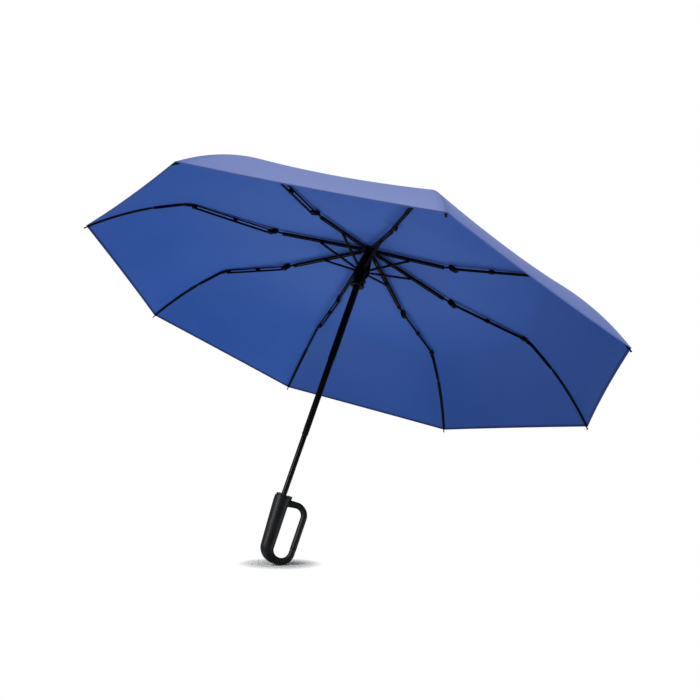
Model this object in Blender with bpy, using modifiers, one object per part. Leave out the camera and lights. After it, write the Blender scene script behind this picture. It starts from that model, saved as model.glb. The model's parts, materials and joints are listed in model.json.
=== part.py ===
# Windproof folding umbrella, open, with a loop handle.
# Metres, +Z up the shaft. The origin is on the shaft's axis, halfway down the grip.

from math import atan2, cos, pi, radians, sin

import bmesh
import bpy
from mathutils import Matrix, Vector

# Counts and round shapes
RIB_COUNT = 8
TURN_STEPS = 24
EYE_STEPS = 6
TONGUE_STEPS = 7
HOLE_SIDES = 8
WIRE_SIDES = 6
ARC_POINTS = 9
BEND_POINTS = 16
DOME_STEPS = 4

# Clearances shared by the pieces
SEAT_GAP = 0.0003
EYE_CLEARANCE = 0.00015
OVERRUN = 0.004
MERGE_DISTANCE = 0.000002

# Overall places along the shaft
HANDLE_TOP_Z = 0.057
SHAFT_LENGTH = 0.477
CANOPY_RADIUS = 0.485
CANOPY_DEPTH = 0.161

# Fold: the crown hinge, the stretcher's pivot and the runner's hinge form an isosceles triangle
HINGE_RADIUS = 0.0105
PIVOT_REACH = 0.080
OPEN_ANGLE = radians(15)
KNUCKLE_REACH = 0.165
KNUCKLE_RISE = 0.0105
MID_REACH = 0.162
MID_SLOPE = radians(4.2)
ELBOW_DROP = 0.0045

# Pressed channels of the ribs
CHANNEL_WIDTH = 0.0036
CHANNEL_HEIGHT = 0.0036
CHANNEL_WALL = 0.0006
CHANNEL_TOP_DROP = 0.0004
WEB_BITE = 0.0003

# Eyes, ears and rivets
EYE_RADIUS = 0.0018
EYE_THICKNESS = 0.0018
LUG_RADIUS = 0.0020
LUG_THICKNESS = 0.0016
LUG_FOOT = 0.0040
TONGUE_RADIUS = 0.0022
TONGUE_THICKNESS = 0.0023
EAR_RADIUS = 0.0024
EAR_INSIDE = 0.0030
EAR_THICKNESS = 0.0008
EAR_LENGTH = 0.0115
RIVET_RADIUS = 0.0008
RIVET_HEAD = 0.0006
WIRE_RADIUS = 0.0005
WEB_LENGTH = 0.012
HALF_WEB_SHARE = 0.33
WEB_LIP_SHARE = 0.25
NECK_SHARE = 0.8

# Inner rib
INNER_START = 0.004
INNER_END_BACK = 0.0125
INNER_WEB_BACK = 0.024
TONGUE_SHOULDER = 0.0044

# Stretcher
STRETCHER_WIDTH = 0.0036
STRETCHER_HEIGHT = 0.0026
STRETCHER_WALL = 0.0005
STRETCHER_START = 0.0046
STRETCHER_END_BACK = 0.0062
STRETCHER_EYE_RADIUS = 0.0016
STRETCHER_WEB = 0.010

# Middle rib
MID_START = 0.0045
MID_END_BACK = 0.0105
MID_WEB_BACK = 0.020
CLIP_PLACE = 0.073
CLIP_LENGTH = 0.006
CLIP_OVERLAP = 0.0003
CLIP_WALL = 0.0008
CLIP_HOLD = 0.0012

# Link rod beside the middle rib
LINK_RADIUS = 0.0008
LINK_SIDE = 0.0034
LINK_DROP = 0.0055
LINK_END_BACK = 0.003

# Outer rib
OUTER_BOW = 0.0085
OUTER_HEEL = 0.0019
OUTER_START = 0.0085
OUTER_CHANNEL_SHARE = 0.34
OUTER_CHANNEL_HEIGHT = 0.0032
SOCKET_OVERLAP_SHARE = 0.05
ROD_RADIUS = 0.0013
ROD_END_BACK = 0.0016
ROD_POINTS = 7
ROD_SIDES = 6
TIP_RADIUS = 0.0021
TIP_LENGTH = 0.0125
TIP_BEYOND = 0.0055
TIP_BORE_DEPTH = 0.008
TIP_NOSE = 0.0008

# Crown and its cap
CROWN_RADIUS = 0.0132
CROWN_ABOVE = 0.0038
CROWN_FLANGE_BELOW = 0.0022
CROWN_BOSS_RADIUS = 0.0076
CROWN_BOSS_BELOW = 0.006
CROWN_BORE_TOP = 0.0008
SLOT_WIDTH = 0.0023
SLOT_FLOOR = 0.0005
CAP_RADIUS = 0.0142
CAP_EDGE = 0.0012
CAP_RISE = 0.0042
CAP_FLAT_RADIUS = 0.0060
SPIGOT_RADIUS = 0.0022
SPIGOT_DEPTH = 0.0018

# Telescopic shaft
TUBE_WALL = 0.0005
UPPER_TUBE_RADIUS = 0.0055
TUBE_CLEARANCE = 0.0004
UPPER_TUBE_LENGTH = 0.222
MIDDLE_TUBE_SHOWS = 0.144
TUBE_OVERLAP = 0.018

# Runner
RUNNER_BORE_CLEARANCE = 0.0003
RUNNER_SLEEVE_RADIUS = 0.0079
RUNNER_SLEEVE_GAP = 0.0015
RUNNER_RING_RADIUS = 0.0127
RUNNER_RING_ABOVE = 0.0016
RUNNER_RING_BELOW = 0.0030
RUNNER_BARREL_RADIUS = 0.0092
RUNNER_BARREL_BELOW = 0.0185
RUNNER_FLARE_RADIUS = 0.0132
RUNNER_LENGTH_BELOW = 0.0215
FIN_TOP_REACH = 0.0088
FIN_FOOT_REACH = 0.0116
FIN_THICKNESS = 0.0014
FIN_DROP = 0.0020

# Canopy
CANOPY_THICKNESS = 0.0004
CANOPY_GAP = 0.0006
CANOPY_HOLE_RADIUS = 0.0035
CANOPY_SHOULDER = 0.0012
RIM_SCALLOP = 0.005
GORE_STEPS = 4
OUTER_STATION_SHARES = (0.06, 0.2, 0.36, 0.52, 0.68, 0.84, 1.0)
INNER_STATION_SHARES = (0.35, 0.7)
MID_STATION_SHARES = (0.3, 0.65)

# Handle
GRIP_TOP_RADIUS = 0.0134
GRIP_TOP_OFFSET = -0.0006
GRIP_STRAIGHT = 0.089
GRIP_END_RADIUS = 0.0108
LOOP_RADIUS = 0.0055
BEND_RADIUS = 0.0129
BEND_CENTRE_X = 0.0270
BEND_LOW_RADIUS = 0.0064
SHOULDER_RADIUS = 0.0175
SHOULDER_DROP = 0.0092
LOOP_ROOT_DROP = 0.0118
LOOP_ROOT_X = 0.0040
SHAFT_SOCKET_DEPTH = 0.035
HANDLE_SIDES = 18
GRIP_POINTS = 4

# Handle collar, notched round its rim
COLLAR_HEIGHT = 0.0040
COLLAR_RADIUS = 0.0128
COLLAR_RIM_WALL = 0.0022
COLLAR_RECESS = 0.0016
NOTCH_WIDTH = 0.0042
NOTCH_DEPTH = 0.0014

# Push button
BUTTON_WIDTH = 0.0078
BUTTON_HEIGHT = 0.0056
BUTTON_LOW = 0.0046
BUTTON_INSIDE = 0.0097
BUTTON_PROUD = 0.0018
BUTTON_TRAVEL = 0.0020
BUTTON_ROUND = 0.0008
BUTTON_ROUND_STEPS = 2

# Gate of the loop
GATE_TOP_DROP = 0.0260
GATE_PIVOT_DROP = 0.0850
GATE_RADIUS = 0.0052
GATE_TOP_GAP = 0.0007
GATE_NOSE = 0.0008
GATE_KNEE = 0.0059
GATE_TONGUE_THICKNESS = 0.0046
GATE_TONGUE_RADIUS = 0.0040
FORK_SLOT = 0.0052
FORK_RADIUS = 0.0053
FORK_DEPTH = 0.0058
FORK_CHEEK_OUTSIDE = 0.0098
GATE_PIN_RADIUS = 0.0012
GATE_PIN_LENGTH = 0.0112
GATE_SIDES = 14

# Places that follow from the sizes
CROWN_Z = HANDLE_TOP_Z + SHAFT_LENGTH
RUNNER_DROP = 2 * PIVOT_REACH * sin(OPEN_ANGLE)
MIDDLE_TUBE_RADIUS = UPPER_TUBE_RADIUS - TUBE_WALL - TUBE_CLEARANCE
LOWER_TUBE_RADIUS = MIDDLE_TUBE_RADIUS - TUBE_WALL - TUBE_CLEARANCE
UPPER_TUBE_END_Z = CROWN_Z - UPPER_TUBE_LENGTH
MIDDLE_TUBE_END_Z = UPPER_TUBE_END_Z - MIDDLE_TUBE_SHOWS
RIVET_LENGTH = EAR_INSIDE + 2 * EAR_THICKNESS + 2 * RIVET_HEAD
BAR_X = BEND_CENTRE_X + BEND_RADIUS + LOOP_RADIUS

COLOURS = {
    "canopy_cloth": ((0.05, 0.10, 0.38), 0.75, 0.0),
    "rib_metal": ((0.035, 0.037, 0.040), 0.35, 0.9),
    "rib_fibre": ((0.020, 0.021, 0.024), 0.45, 0.0),
    "tube_metal": ((0.030, 0.032, 0.035), 0.30, 0.9),
    "frame_plastic": ((0.016, 0.017, 0.019), 0.50, 0.0),
    "handle_plastic": ((0.020, 0.022, 0.025), 0.55, 0.0),
    "button_plastic": ((0.012, 0.012, 0.014), 0.40, 0.0),
    "pin_steel": ((0.45, 0.46, 0.48), 0.28, 1.0),
}


def clear_scene():
    for item in list(bpy.data.objects):
        bpy.data.objects.remove(item, do_unlink=True)


def make_collection(name):
    collection = bpy.data.collections.new(name)
    bpy.context.scene.collection.children.link(collection)
    return collection


def make_material(name):
    colour, roughness, metallic = COLOURS[name]
    material = bpy.data.materials.new(name)
    material.use_nodes = True
    shader = material.node_tree.nodes["Principled BSDF"]
    shader.inputs["Base Color"].default_value = (*colour, 1.0)
    shader.inputs["Roughness"].default_value = roughness
    shader.inputs["Metallic"].default_value = metallic
    material.diffuse_color = (*colour, 1.0)
    return material


clear_scene()
parts = make_collection("windproof_umbrella")
guides = make_collection("cutters")
materials = {name: make_material(name) for name in COLOURS}


# Shape helpers: each returns a mesh, and the temporary object behind it is removed

def evaluated_mesh(item):
    bpy.context.view_layer.update()
    graph = bpy.context.evaluated_depsgraph_get()
    return bpy.data.meshes.new_from_object(item.evaluated_get(graph))


def weld(mesh):
    shape = bmesh.new()
    shape.from_mesh(mesh)
    bmesh.ops.remove_doubles(shape, verts=shape.verts, dist=MERGE_DISTANCE)
    bmesh.ops.recalc_face_normals(shape, faces=shape.faces)
    shape.to_mesh(mesh)
    shape.free()
    return mesh


def temporary(data, matrix=None):
    item = bpy.data.objects.new("guide", data)
    guides.objects.link(item)
    item.hide_render = True
    item.display_type = "WIRE"
    if matrix is not None:
        item.matrix_world = matrix
    return item


def take_mesh(item):
    mesh = weld(evaluated_mesh(item))
    bpy.data.objects.remove(item, do_unlink=True)
    return mesh


def plate(outline, thickness, holes=()):
    """A flat outline in X and Y with round rivet holes, its thickness centred on Z."""
    curve = bpy.data.curves.new("plate", "CURVE")
    curve.dimensions = "2D"
    curve.fill_mode = "BOTH"
    curve.extrude = thickness / 2
    for loop in [outline] + [circle(hole, RIVET_RADIUS + EYE_CLEARANCE, HOLE_SIDES) for hole in holes]:
        spline = curve.splines.new("POLY")
        spline.points.add(len(loop) - 1)
        for point, (x, y) in zip(spline.points, loop):
            point.co = (x, y, 0, 1)
        spline.use_cyclic_u = True
    return take_mesh(temporary(curve))


def swept(points, radii, sides, cyclic=False):
    """A round bar along points, with a radius at each."""
    curve = bpy.data.curves.new("bar", "CURVE")
    curve.dimensions = "3D"
    curve.bevel_depth = max(radii)
    curve.bevel_resolution = (sides - 4) // 2
    curve.use_fill_caps = not cyclic
    spline = curve.splines.new("POLY")
    spline.points.add(len(points) - 1)
    for point, place, radius in zip(spline.points, points, radii):
        point.co = (*place, 1)
        point.radius = radius / max(radii)
    spline.use_cyclic_u = cyclic
    return take_mesh(temporary(curve))


def turned(profile, steps=TURN_STEPS, closed=True):
    """Revolve a profile of radius and height, which runs down its outer side."""
    mesh = bpy.data.meshes.new("profile")
    edges = [(i, i + 1) for i in range(len(profile) - 1)]
    if closed:
        edges.append((len(profile) - 1, 0))
    mesh.from_pydata([(radius, 0, height) for radius, height in profile], edges, [])
    item = temporary(mesh)
    screw = item.modifiers.new("turn", "SCREW")
    screw.axis = "Z"
    screw.steps = steps
    screw.render_steps = steps
    screw.use_merge_vertices = True
    screw.merge_threshold = MERGE_DISTANCE
    return take_mesh(item)


def cylinder(radius, length, sides, matrix):
    shape = bmesh.new()
    bmesh.ops.create_cone(
        shape, cap_ends=True, segments=sides, radius1=radius, radius2=radius, depth=length, matrix=matrix
    )
    mesh = bpy.data.meshes.new("cylinder")
    shape.to_mesh(mesh)
    shape.free()
    return mesh


def box(low, high):
    low, high = Vector(low), Vector(high)
    shape = bmesh.new()
    spread = Matrix.Diagonal((*(high - low), 1))
    bmesh.ops.create_cube(shape, size=1.0, matrix=Matrix.Translation((low + high) / 2) @ spread)
    mesh = bpy.data.meshes.new("box")
    shape.to_mesh(mesh)
    shape.free()
    return mesh


def moved(mesh, matrix):
    mesh.transform(matrix)
    return mesh


def gathered(meshes):
    shape = bmesh.new()
    for mesh in meshes:
        shape.from_mesh(mesh)
    joined = bpy.data.meshes.new("gathered")
    shape.to_mesh(joined)
    shape.free()
    return joined


def combined(base, tools, operation):
    """The base with each tool joined to it (UNION) or cut from it (DIFFERENCE)."""
    item = temporary(base)
    helpers = [temporary(tool) for tool in tools]
    for helper in helpers:
        modifier = item.modifiers.new(operation, "BOOLEAN")
        modifier.operation = operation
        modifier.solver = "EXACT"
        modifier.object = helper
    mesh = take_mesh(item)
    for helper in helpers:
        bpy.data.objects.remove(helper, do_unlink=True)
    return mesh


def joined(base, *tools):
    return combined(base, tools, "UNION")


def cut(base, *tools):
    return combined(base, tools, "DIFFERENCE")


def place(name, mesh, material, parent=None, location=(0, 0, 0), angle=0.0, smooth=True):
    item = bpy.data.objects.new(name, mesh)
    parts.objects.link(item)
    if not mesh.materials:
        mesh.materials.append(materials[material])
    item.parent = parent
    item.location = location
    item.rotation_euler = (0, 0, angle)
    if smooth:
        mesh.shade_smooth()
        mesh.set_sharp_from_angle(angle=radians(35))
    return item


def arc(centre, radius, start, end, steps):
    turn = [start + (end - start) * i / steps for i in range(steps + 1)]
    return [(centre[0] + radius * cos(t), centre[1] + radius * sin(t)) for t in turn]


def circle(centre, radius, sides):
    return arc(centre, radius, 0, 2 * pi * (sides - 1) / sides, sides - 1)


def spread_evenly(low, high, count):
    return [low + (high - low) * i / (count - 1) for i in range(count)]


# Rib plane: X runs along a rib, Y rises to the cloth, Z is sideways

def from_frame(origin, angle, along, rise):
    return Vector((
        origin[0] + along * cos(angle) - rise * sin(angle),
        origin[1] + along * sin(angle) + rise * cos(angle),
    ))


CROWN_HINGE = Vector((HINGE_RADIUS, 0))
STRETCHER_PIVOT = from_frame(CROWN_HINGE, -OPEN_ANGLE, PIVOT_REACH, 0)
KNUCKLE = from_frame(CROWN_HINGE, -OPEN_ANGLE, KNUCKLE_REACH, KNUCKLE_RISE)
ELBOW = from_frame(KNUCKLE, -MID_SLOPE, MID_REACH, -ELBOW_DROP)
TIP = Vector((CANOPY_RADIUS, -CANOPY_DEPTH))
OUTER_REACH = (TIP - ELBOW).length
OUTER_ANGLE = atan2(TIP[1] - ELBOW[1], TIP[0] - ELBOW[0])
INNER_RISE_SHARE = (KNUCKLE_RISE - CHANNEL_TOP_DROP - CHANNEL_HEIGHT / 2) / KNUCKLE_REACH


def channel(start, end, width, height, wall):
    """A pressed channel open at its underside, from one point of the rib plane to another."""
    start, end = Vector(start), Vector(end)
    half, low, high = width / 2, -height / 2, height / 2
    outline = [
        (-half, low), (-half, high), (half, high), (half, low),
        (half - wall, low), (half - wall, high - wall),
        (-half + wall, high - wall), (-half + wall, low),
    ]
    mesh = plate(outline, (end - start).length)
    lean = atan2(end[1] - start[1], end[0] - start[0])
    stand = Matrix(((0, 0, 1, 0), (0, 1, 0, 0), (-1, 0, 0, 0), (0, 0, 0, 1)))
    centre = (start + end) / 2
    return moved(mesh, Matrix.Translation((*centre, 0)) @ Matrix.Rotation(lean, 4, "Z") @ stand)


def rivet(length):
    """The rivet at a piece's own hinge, which is its origin."""
    return cylinder(RIVET_RADIUS, length, HOLE_SIDES, Matrix())


def ear_pair(outline):
    """Two side plates, one each side of the rib plane."""
    offset = (EAR_INSIDE + EAR_THICKNESS) / 2
    left = moved(plate(outline, EAR_THICKNESS), Matrix.Translation((0, 0, offset)))
    right = moved(plate(outline, EAR_THICKNESS), Matrix.Translation((0, 0, -offset)))
    return left, right


def inner_centre(along):
    return along * INNER_RISE_SHARE


def inner_web_top(along):
    return inner_centre(along) + CHANNEL_HEIGHT / 2 - WEB_BITE


def inner_rib_mesh():
    end = KNUCKLE_REACH - INNER_END_BACK
    body = channel(
        (INNER_START, inner_centre(INNER_START)), (end, inner_centre(end)),
        CHANNEL_WIDTH, CHANNEL_HEIGHT, CHANNEL_WALL,
    )
    half_web = CHANNEL_HEIGHT * HALF_WEB_SHARE
    crown_eye = arc((0, 0), EYE_RADIUS, radians(60), radians(300), EYE_STEPS)
    crown_eye += [
        (WEB_LENGTH, inner_centre(WEB_LENGTH) - half_web),
        (WEB_LENGTH, inner_web_top(WEB_LENGTH)),
        (INNER_START, inner_web_top(INNER_START)),
    ]
    lug = arc((PIVOT_REACH, 0), LUG_RADIUS, radians(180), radians(360), EYE_STEPS)
    lug += [(PIVOT_REACH + side * LUG_FOOT, inner_web_top(PIVOT_REACH)) for side in (1, -1)]
    web = KNUCKLE_REACH - INNER_WEB_BACK
    tongue = [
        (web, inner_web_top(web)), (web, inner_centre(web) - half_web),
        (end, inner_centre(end) - half_web),
    ]
    tongue += arc((KNUCKLE_REACH, KNUCKLE_RISE), TONGUE_RADIUS, radians(-110), radians(140), TONGUE_STEPS)
    tongue += [(KNUCKLE_REACH - TONGUE_SHOULDER, KNUCKLE_RISE), (end, inner_web_top(end))]
    return joined(
        body,
        plate(crown_eye, EYE_THICKNESS, [(0, 0)]),
        plate(lug, LUG_THICKNESS, [(PIVOT_REACH, 0)]),
        plate(tongue, TONGUE_THICKNESS, [(KNUCKLE_REACH, KNUCKLE_RISE)]),
    )


def stretcher_mesh():
    body = channel(
        (STRETCHER_START, 0), (PIVOT_REACH - STRETCHER_END_BACK, 0),
        STRETCHER_WIDTH, STRETCHER_HEIGHT, STRETCHER_WALL,
    )
    web_low, web_top = -STRETCHER_HEIGHT * WEB_LIP_SHARE, (STRETCHER_HEIGHT - STRETCHER_WALL) / 2
    web_start, web_end = PIVOT_REACH - STRETCHER_WEB - STRETCHER_END_BACK, PIVOT_REACH - STRETCHER_END_BACK
    ear_gap = LUG_THICKNESS + 2 * SEAT_GAP
    ear_thickness = (STRETCHER_WIDTH - ear_gap) / 2
    ear = arc((0, 0), LUG_RADIUS, radians(40), radians(320), EYE_STEPS)
    ear += [
        (STRETCHER_WEB, web_low), (STRETCHER_WEB, web_top), (STRETCHER_START, web_top),
    ]
    offset = (ear_gap + ear_thickness) / 2
    ears = [
        moved(plate(ear, ear_thickness), Matrix.Translation((0, 0, side * offset))) for side in (1, -1)
    ]
    eye = [(web_start, web_low), (web_end, -STRETCHER_EYE_RADIUS * NECK_SHARE)]
    eye += arc((PIVOT_REACH, 0), STRETCHER_EYE_RADIUS, radians(-120), radians(120), EYE_STEPS)
    eye += [(web_end, web_top), (web_start, web_top)]
    eye_plate = plate(eye, LUG_THICKNESS, [(PIVOT_REACH, 0)])
    return joined(body, *ears, eye_plate, rivet(STRETCHER_WIDTH + RIVET_HEAD))


def mid_rib_mesh():
    centre = -CHANNEL_TOP_DROP - CHANNEL_HEIGHT / 2
    low = -CHANNEL_TOP_DROP - CHANNEL_HEIGHT
    end = MID_REACH - MID_END_BACK
    body = channel((MID_START, centre), (end, centre), CHANNEL_WIDTH, CHANNEL_HEIGHT, CHANNEL_WALL)
    ear = arc((0, 0), EAR_RADIUS, radians(45), radians(250), EYE_STEPS)
    ear += [
        (MID_START, low - WEB_BITE), (EAR_LENGTH, low + WEB_BITE),
        (EAR_LENGTH, -CHANNEL_TOP_DROP - WEB_BITE), (MID_START, CHANNEL_TOP_DROP),
    ]
    web = MID_REACH - MID_WEB_BACK
    web_top = -CHANNEL_TOP_DROP - WEB_BITE
    tongue = [
        (web, web_top), (web, centre - CHANNEL_HEIGHT * WEB_LIP_SHARE), (end, low + WEB_BITE),
        (MID_REACH - TONGUE_SHOULDER, -ELBOW_DROP + CHANNEL_TOP_DROP / 2),
    ]
    tongue += arc((MID_REACH, -ELBOW_DROP), TONGUE_RADIUS, radians(-140), radians(80), TONGUE_STEPS)
    tongue += [(end, web_top)]
    link_y = -LINK_DROP
    hole = LINK_RADIUS + SEAT_GAP
    clip = box(
        (CLIP_PLACE, link_y - hole - CLIP_WALL, CHANNEL_WIDTH / 2 - CLIP_OVERLAP),
        (CLIP_PLACE + CLIP_LENGTH, low + CLIP_HOLD, LINK_SIDE + hole + CLIP_WALL),
    )
    along = Matrix.Rotation(pi / 2, 4, "Y")
    bore = cylinder(
        hole, CLIP_LENGTH + OVERRUN, HOLE_SIDES,
        Matrix.Translation((CLIP_PLACE + CLIP_LENGTH / 2, link_y, LINK_SIDE)) @ along,
    )
    tongue_plate = plate(tongue, TONGUE_THICKNESS, [(MID_REACH, -ELBOW_DROP)])
    return joined(body, *ear_pair(ear), tongue_plate, rivet(RIVET_LENGTH), cut(clip, bore))


def link_rod_mesh():
    ends = [(LINK_END_BACK, -LINK_DROP, LINK_SIDE), (MID_REACH - LINK_END_BACK, -LINK_DROP, LINK_SIDE)]
    return swept(ends, [LINK_RADIUS, LINK_RADIUS], ROD_SIDES)


def outer_centre(share):
    """Height of the bowed outer rib's centre line above its chord."""
    return OUTER_HEEL * (1 - share) + 4 * OUTER_BOW * share * (1 - share)


def outer_slope(share):
    return atan2(-OUTER_HEEL + 4 * OUTER_BOW * (1 - 2 * share), OUTER_REACH)


def outer_rib_mesh():
    start = (OUTER_START, outer_centre(OUTER_START / OUTER_REACH))
    end = (OUTER_REACH * OUTER_CHANNEL_SHARE, outer_centre(OUTER_CHANNEL_SHARE))
    body = channel(start, end, CHANNEL_WIDTH, OUTER_CHANNEL_HEIGHT, CHANNEL_WALL)
    ear = arc((0, 0), EAR_RADIUS, radians(80), radians(310), EYE_STEPS)
    ear += [
        (OUTER_START, start[1] - OUTER_CHANNEL_HEIGHT / 2 - WEB_BITE / 2),
        (EAR_LENGTH, start[1] - OUTER_CHANNEL_HEIGHT / 2 + WEB_BITE),
        (EAR_LENGTH, start[1] + OUTER_CHANNEL_HEIGHT / 2 - WEB_BITE),
        (OUTER_START, start[1] + OUTER_CHANNEL_HEIGHT / 2 - WEB_BITE),
    ]
    shares = spread_evenly(
        OUTER_CHANNEL_SHARE - SOCKET_OVERLAP_SHARE, 1 - ROD_END_BACK / OUTER_REACH, ROD_POINTS
    )
    points = [(share * OUTER_REACH, outer_centre(share), 0) for share in shares]
    rod = swept(points, [ROD_RADIUS] * ROD_POINTS, ROD_SIDES)
    return joined(body, *ear_pair(ear), rod, rivet(RIVET_LENGTH))


def rib_tip_mesh():
    """A cup over the rod's end. Its mouth is at the origin and it points along X."""
    bore = ROD_RADIUS + SEAT_GAP
    profile = [
        (0, TIP_LENGTH), (TIP_RADIUS - TIP_NOSE, TIP_LENGTH), (TIP_RADIUS, TIP_LENGTH - TIP_NOSE),
        (TIP_RADIUS, 0), (bore, 0), (bore, TIP_BORE_DEPTH), (0, TIP_BORE_DEPTH),
    ]
    return moved(turned(profile, HOLE_SIDES, closed=False), Matrix.Rotation(pi / 2, 4, "Y"))


def hinge_slots(low, high, inner, outer, height):
    """Radial slots for the hinge eyes, one for each rib."""
    slot = box((inner, -SLOT_WIDTH / 2, height + low), (outer, SLOT_WIDTH / 2, height + high))
    slots = []
    for index in range(RIB_COUNT):
        copy = slot.copy()
        slots.append(moved(copy, Matrix.Rotation(2 * pi * index / RIB_COUNT, 4, "Z")))
    return gathered(slots)


def hinge_wire(height):
    """The wire ring that the hinge eyes turn on: straight across each slot."""
    corner = HINGE_RADIUS / cos(pi / RIB_COUNT)
    turns = [2 * pi * (i + 0.5) / RIB_COUNT for i in range(RIB_COUNT)]
    points = [(corner * cos(t), corner * sin(t), height) for t in turns]
    return swept(points, [WIRE_RADIUS] * RIB_COUNT, WIRE_SIDES, cyclic=True)


def crown_mesh():
    bore = UPPER_TUBE_RADIUS + SEAT_GAP
    hole = SPIGOT_RADIUS + SEAT_GAP
    spigot_floor = CROWN_ABOVE - SPIGOT_DEPTH - SEAT_GAP
    profile = [
        (0, spigot_floor), (hole, spigot_floor), (hole, CROWN_ABOVE),
        (CROWN_RADIUS, CROWN_ABOVE), (CROWN_RADIUS, -CROWN_FLANGE_BELOW),
        (CROWN_BOSS_RADIUS, -CROWN_FLANGE_BELOW), (CROWN_BOSS_RADIUS, -CROWN_BOSS_BELOW),
        (bore, -CROWN_BOSS_BELOW), (bore, CROWN_BORE_TOP), (0, CROWN_BORE_TOP),
    ]
    body = turned(profile, closed=False)
    slots = hinge_slots(
        -CROWN_FLANGE_BELOW - OVERRUN, EYE_RADIUS + SLOT_FLOOR,
        CROWN_BOSS_RADIUS + SLOT_FLOOR, CROWN_RADIUS + OVERRUN, 0,
    )
    return joined(cut(body, slots), hinge_wire(0))


def runner_mesh():
    """A sleeve with eight fins, the hinge ring at height 0, a barrel and a flare to pull on."""
    bore = UPPER_TUBE_RADIUS + RUNNER_BORE_CLEARANCE
    top = RUNNER_DROP - CROWN_BOSS_BELOW - RUNNER_SLEEVE_GAP
    profile = [
        (bore, top), (RUNNER_SLEEVE_RADIUS, top),
        (RUNNER_SLEEVE_RADIUS, RUNNER_RING_ABOVE), (RUNNER_RING_RADIUS, RUNNER_RING_ABOVE),
        (RUNNER_RING_RADIUS, -RUNNER_RING_BELOW), (RUNNER_BARREL_RADIUS, -RUNNER_RING_BELOW),
        (RUNNER_BARREL_RADIUS, -RUNNER_BARREL_BELOW), (RUNNER_FLARE_RADIUS, -RUNNER_BARREL_BELOW),
        (RUNNER_FLARE_RADIUS, -RUNNER_LENGTH_BELOW), (bore, -RUNNER_LENGTH_BELOW),
    ]
    slots = hinge_slots(
        -STRETCHER_EYE_RADIUS - SLOT_FLOOR, RUNNER_RING_ABOVE + OVERRUN,
        RUNNER_SLEEVE_RADIUS + SLOT_FLOOR, RUNNER_RING_RADIUS + OVERRUN, 0,
    )
    fin = [
        (bore + SEAT_GAP, top - FIN_DROP), (FIN_TOP_REACH, top - FIN_DROP),
        (FIN_FOOT_REACH, RUNNER_RING_ABOVE + WIRE_RADIUS), (FIN_FOOT_REACH, RUNNER_RING_ABOVE - WIRE_RADIUS),
        (bore + SEAT_GAP, RUNNER_RING_ABOVE - WIRE_RADIUS),
    ]
    upright = moved(plate(fin, FIN_THICKNESS), Matrix.Rotation(pi / 2, 4, "X"))
    turns = [2 * pi * (i + 0.5) / RIB_COUNT for i in range(RIB_COUNT)]
    fins = gathered([moved(upright.copy(), Matrix.Rotation(t, 4, "Z")) for t in turns])
    return joined(cut(turned(profile), slots), fins, hinge_wire(0))


def crown_cap_mesh():
    """A shallow dome over the cloth, with a spigot down into the crown."""
    under = CANOPY_GAP + CANOPY_THICKNESS + SEAT_GAP
    top = under + CAP_RISE
    shoulder = arc((CAP_FLAT_RADIUS, under + CAP_EDGE), 1, pi / 2, 0, DOME_STEPS)
    dome = [
        (CAP_FLAT_RADIUS + (x - CAP_FLAT_RADIUS) * (CAP_RADIUS - CAP_FLAT_RADIUS),
         under + CAP_EDGE + (y - under - CAP_EDGE) * (top - under - CAP_EDGE))
        for x, y in shoulder
    ]
    profile = [(0, top)] + dome + [
        (CAP_RADIUS, under), (SPIGOT_RADIUS, under), (SPIGOT_RADIUS, -SPIGOT_DEPTH), (0, -SPIGOT_DEPTH),
    ]
    return turned(profile, closed=False)


def tube_mesh(radius, length):
    inside = radius - TUBE_WALL
    return turned([(inside, length), (radius, length), (radius, 0), (inside, 0)])


def canopy_stations():
    """Points on the cloth along a rib, as radius and height, from the crown's hole to the tip."""
    crown_top = CROWN_ABOVE + CANOPY_GAP
    stations = [
        Vector((CANOPY_HOLE_RADIUS, crown_top)), Vector((CROWN_RADIUS + CANOPY_SHOULDER, crown_top)),
    ]
    over_knuckle = KNUCKLE + Vector((0, EAR_RADIUS + CANOPY_GAP))
    over_elbow = ELBOW + Vector((0, ELBOW_DROP + CANOPY_GAP))
    stations += [stations[1].lerp(over_knuckle, share) for share in INNER_STATION_SHARES]
    stations.append(over_knuckle)
    stations += [over_knuckle.lerp(over_elbow, share) for share in MID_STATION_SHARES]
    stations.append(over_elbow)
    for share in OUTER_STATION_SHARES:
        cover = OUTER_CHANNEL_HEIGHT / 2 * (1 - share) + TIP_RADIUS * share + CANOPY_GAP
        stations.append(from_frame(ELBOW, OUTER_ANGLE, share * OUTER_REACH, outer_centre(share) + cover))
    return stations


def canopy_mesh():
    """Eight gores, each drawn straight from rib to rib, with a shallow scallop at the rim."""
    stations = canopy_stations()
    columns = RIB_COUNT * GORE_STEPS
    shape = bmesh.new()
    rows = []
    for station_index, (radius, height) in enumerate(stations):
        row = []
        for column in range(columns):
            rib, step = divmod(column, GORE_STEPS)
            across = step / GORE_STEPS
            first, second = (2 * pi * (rib + k) / RIB_COUNT for k in (0, 1))
            draw = 4 * across * (1 - across) * RIM_SCALLOP / radius
            reach = radius * (1 - (draw if station_index == len(stations) - 1 else 0))
            x = reach * (cos(first) * (1 - across) + cos(second) * across)
            y = reach * (sin(first) * (1 - across) + sin(second) * across)
            row.append(shape.verts.new((x, y, height)))
        rows.append(row)
    for upper, lower in zip(rows, rows[1:]):
        for column in range(columns):
            following = (column + 1) % columns
            shape.faces.new((upper[column], lower[column], lower[following], upper[following]))
    mesh = bpy.data.meshes.new("canopy")
    shape.to_mesh(mesh)
    shape.free()
    item = temporary(mesh)
    thicken = item.modifiers.new("thicken", "SOLIDIFY")
    thicken.thickness = CANOPY_THICKNESS
    thicken.offset = 1
    return take_mesh(item)


# Handle: X is the loop's side, and heights count down from the handle's top

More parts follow.
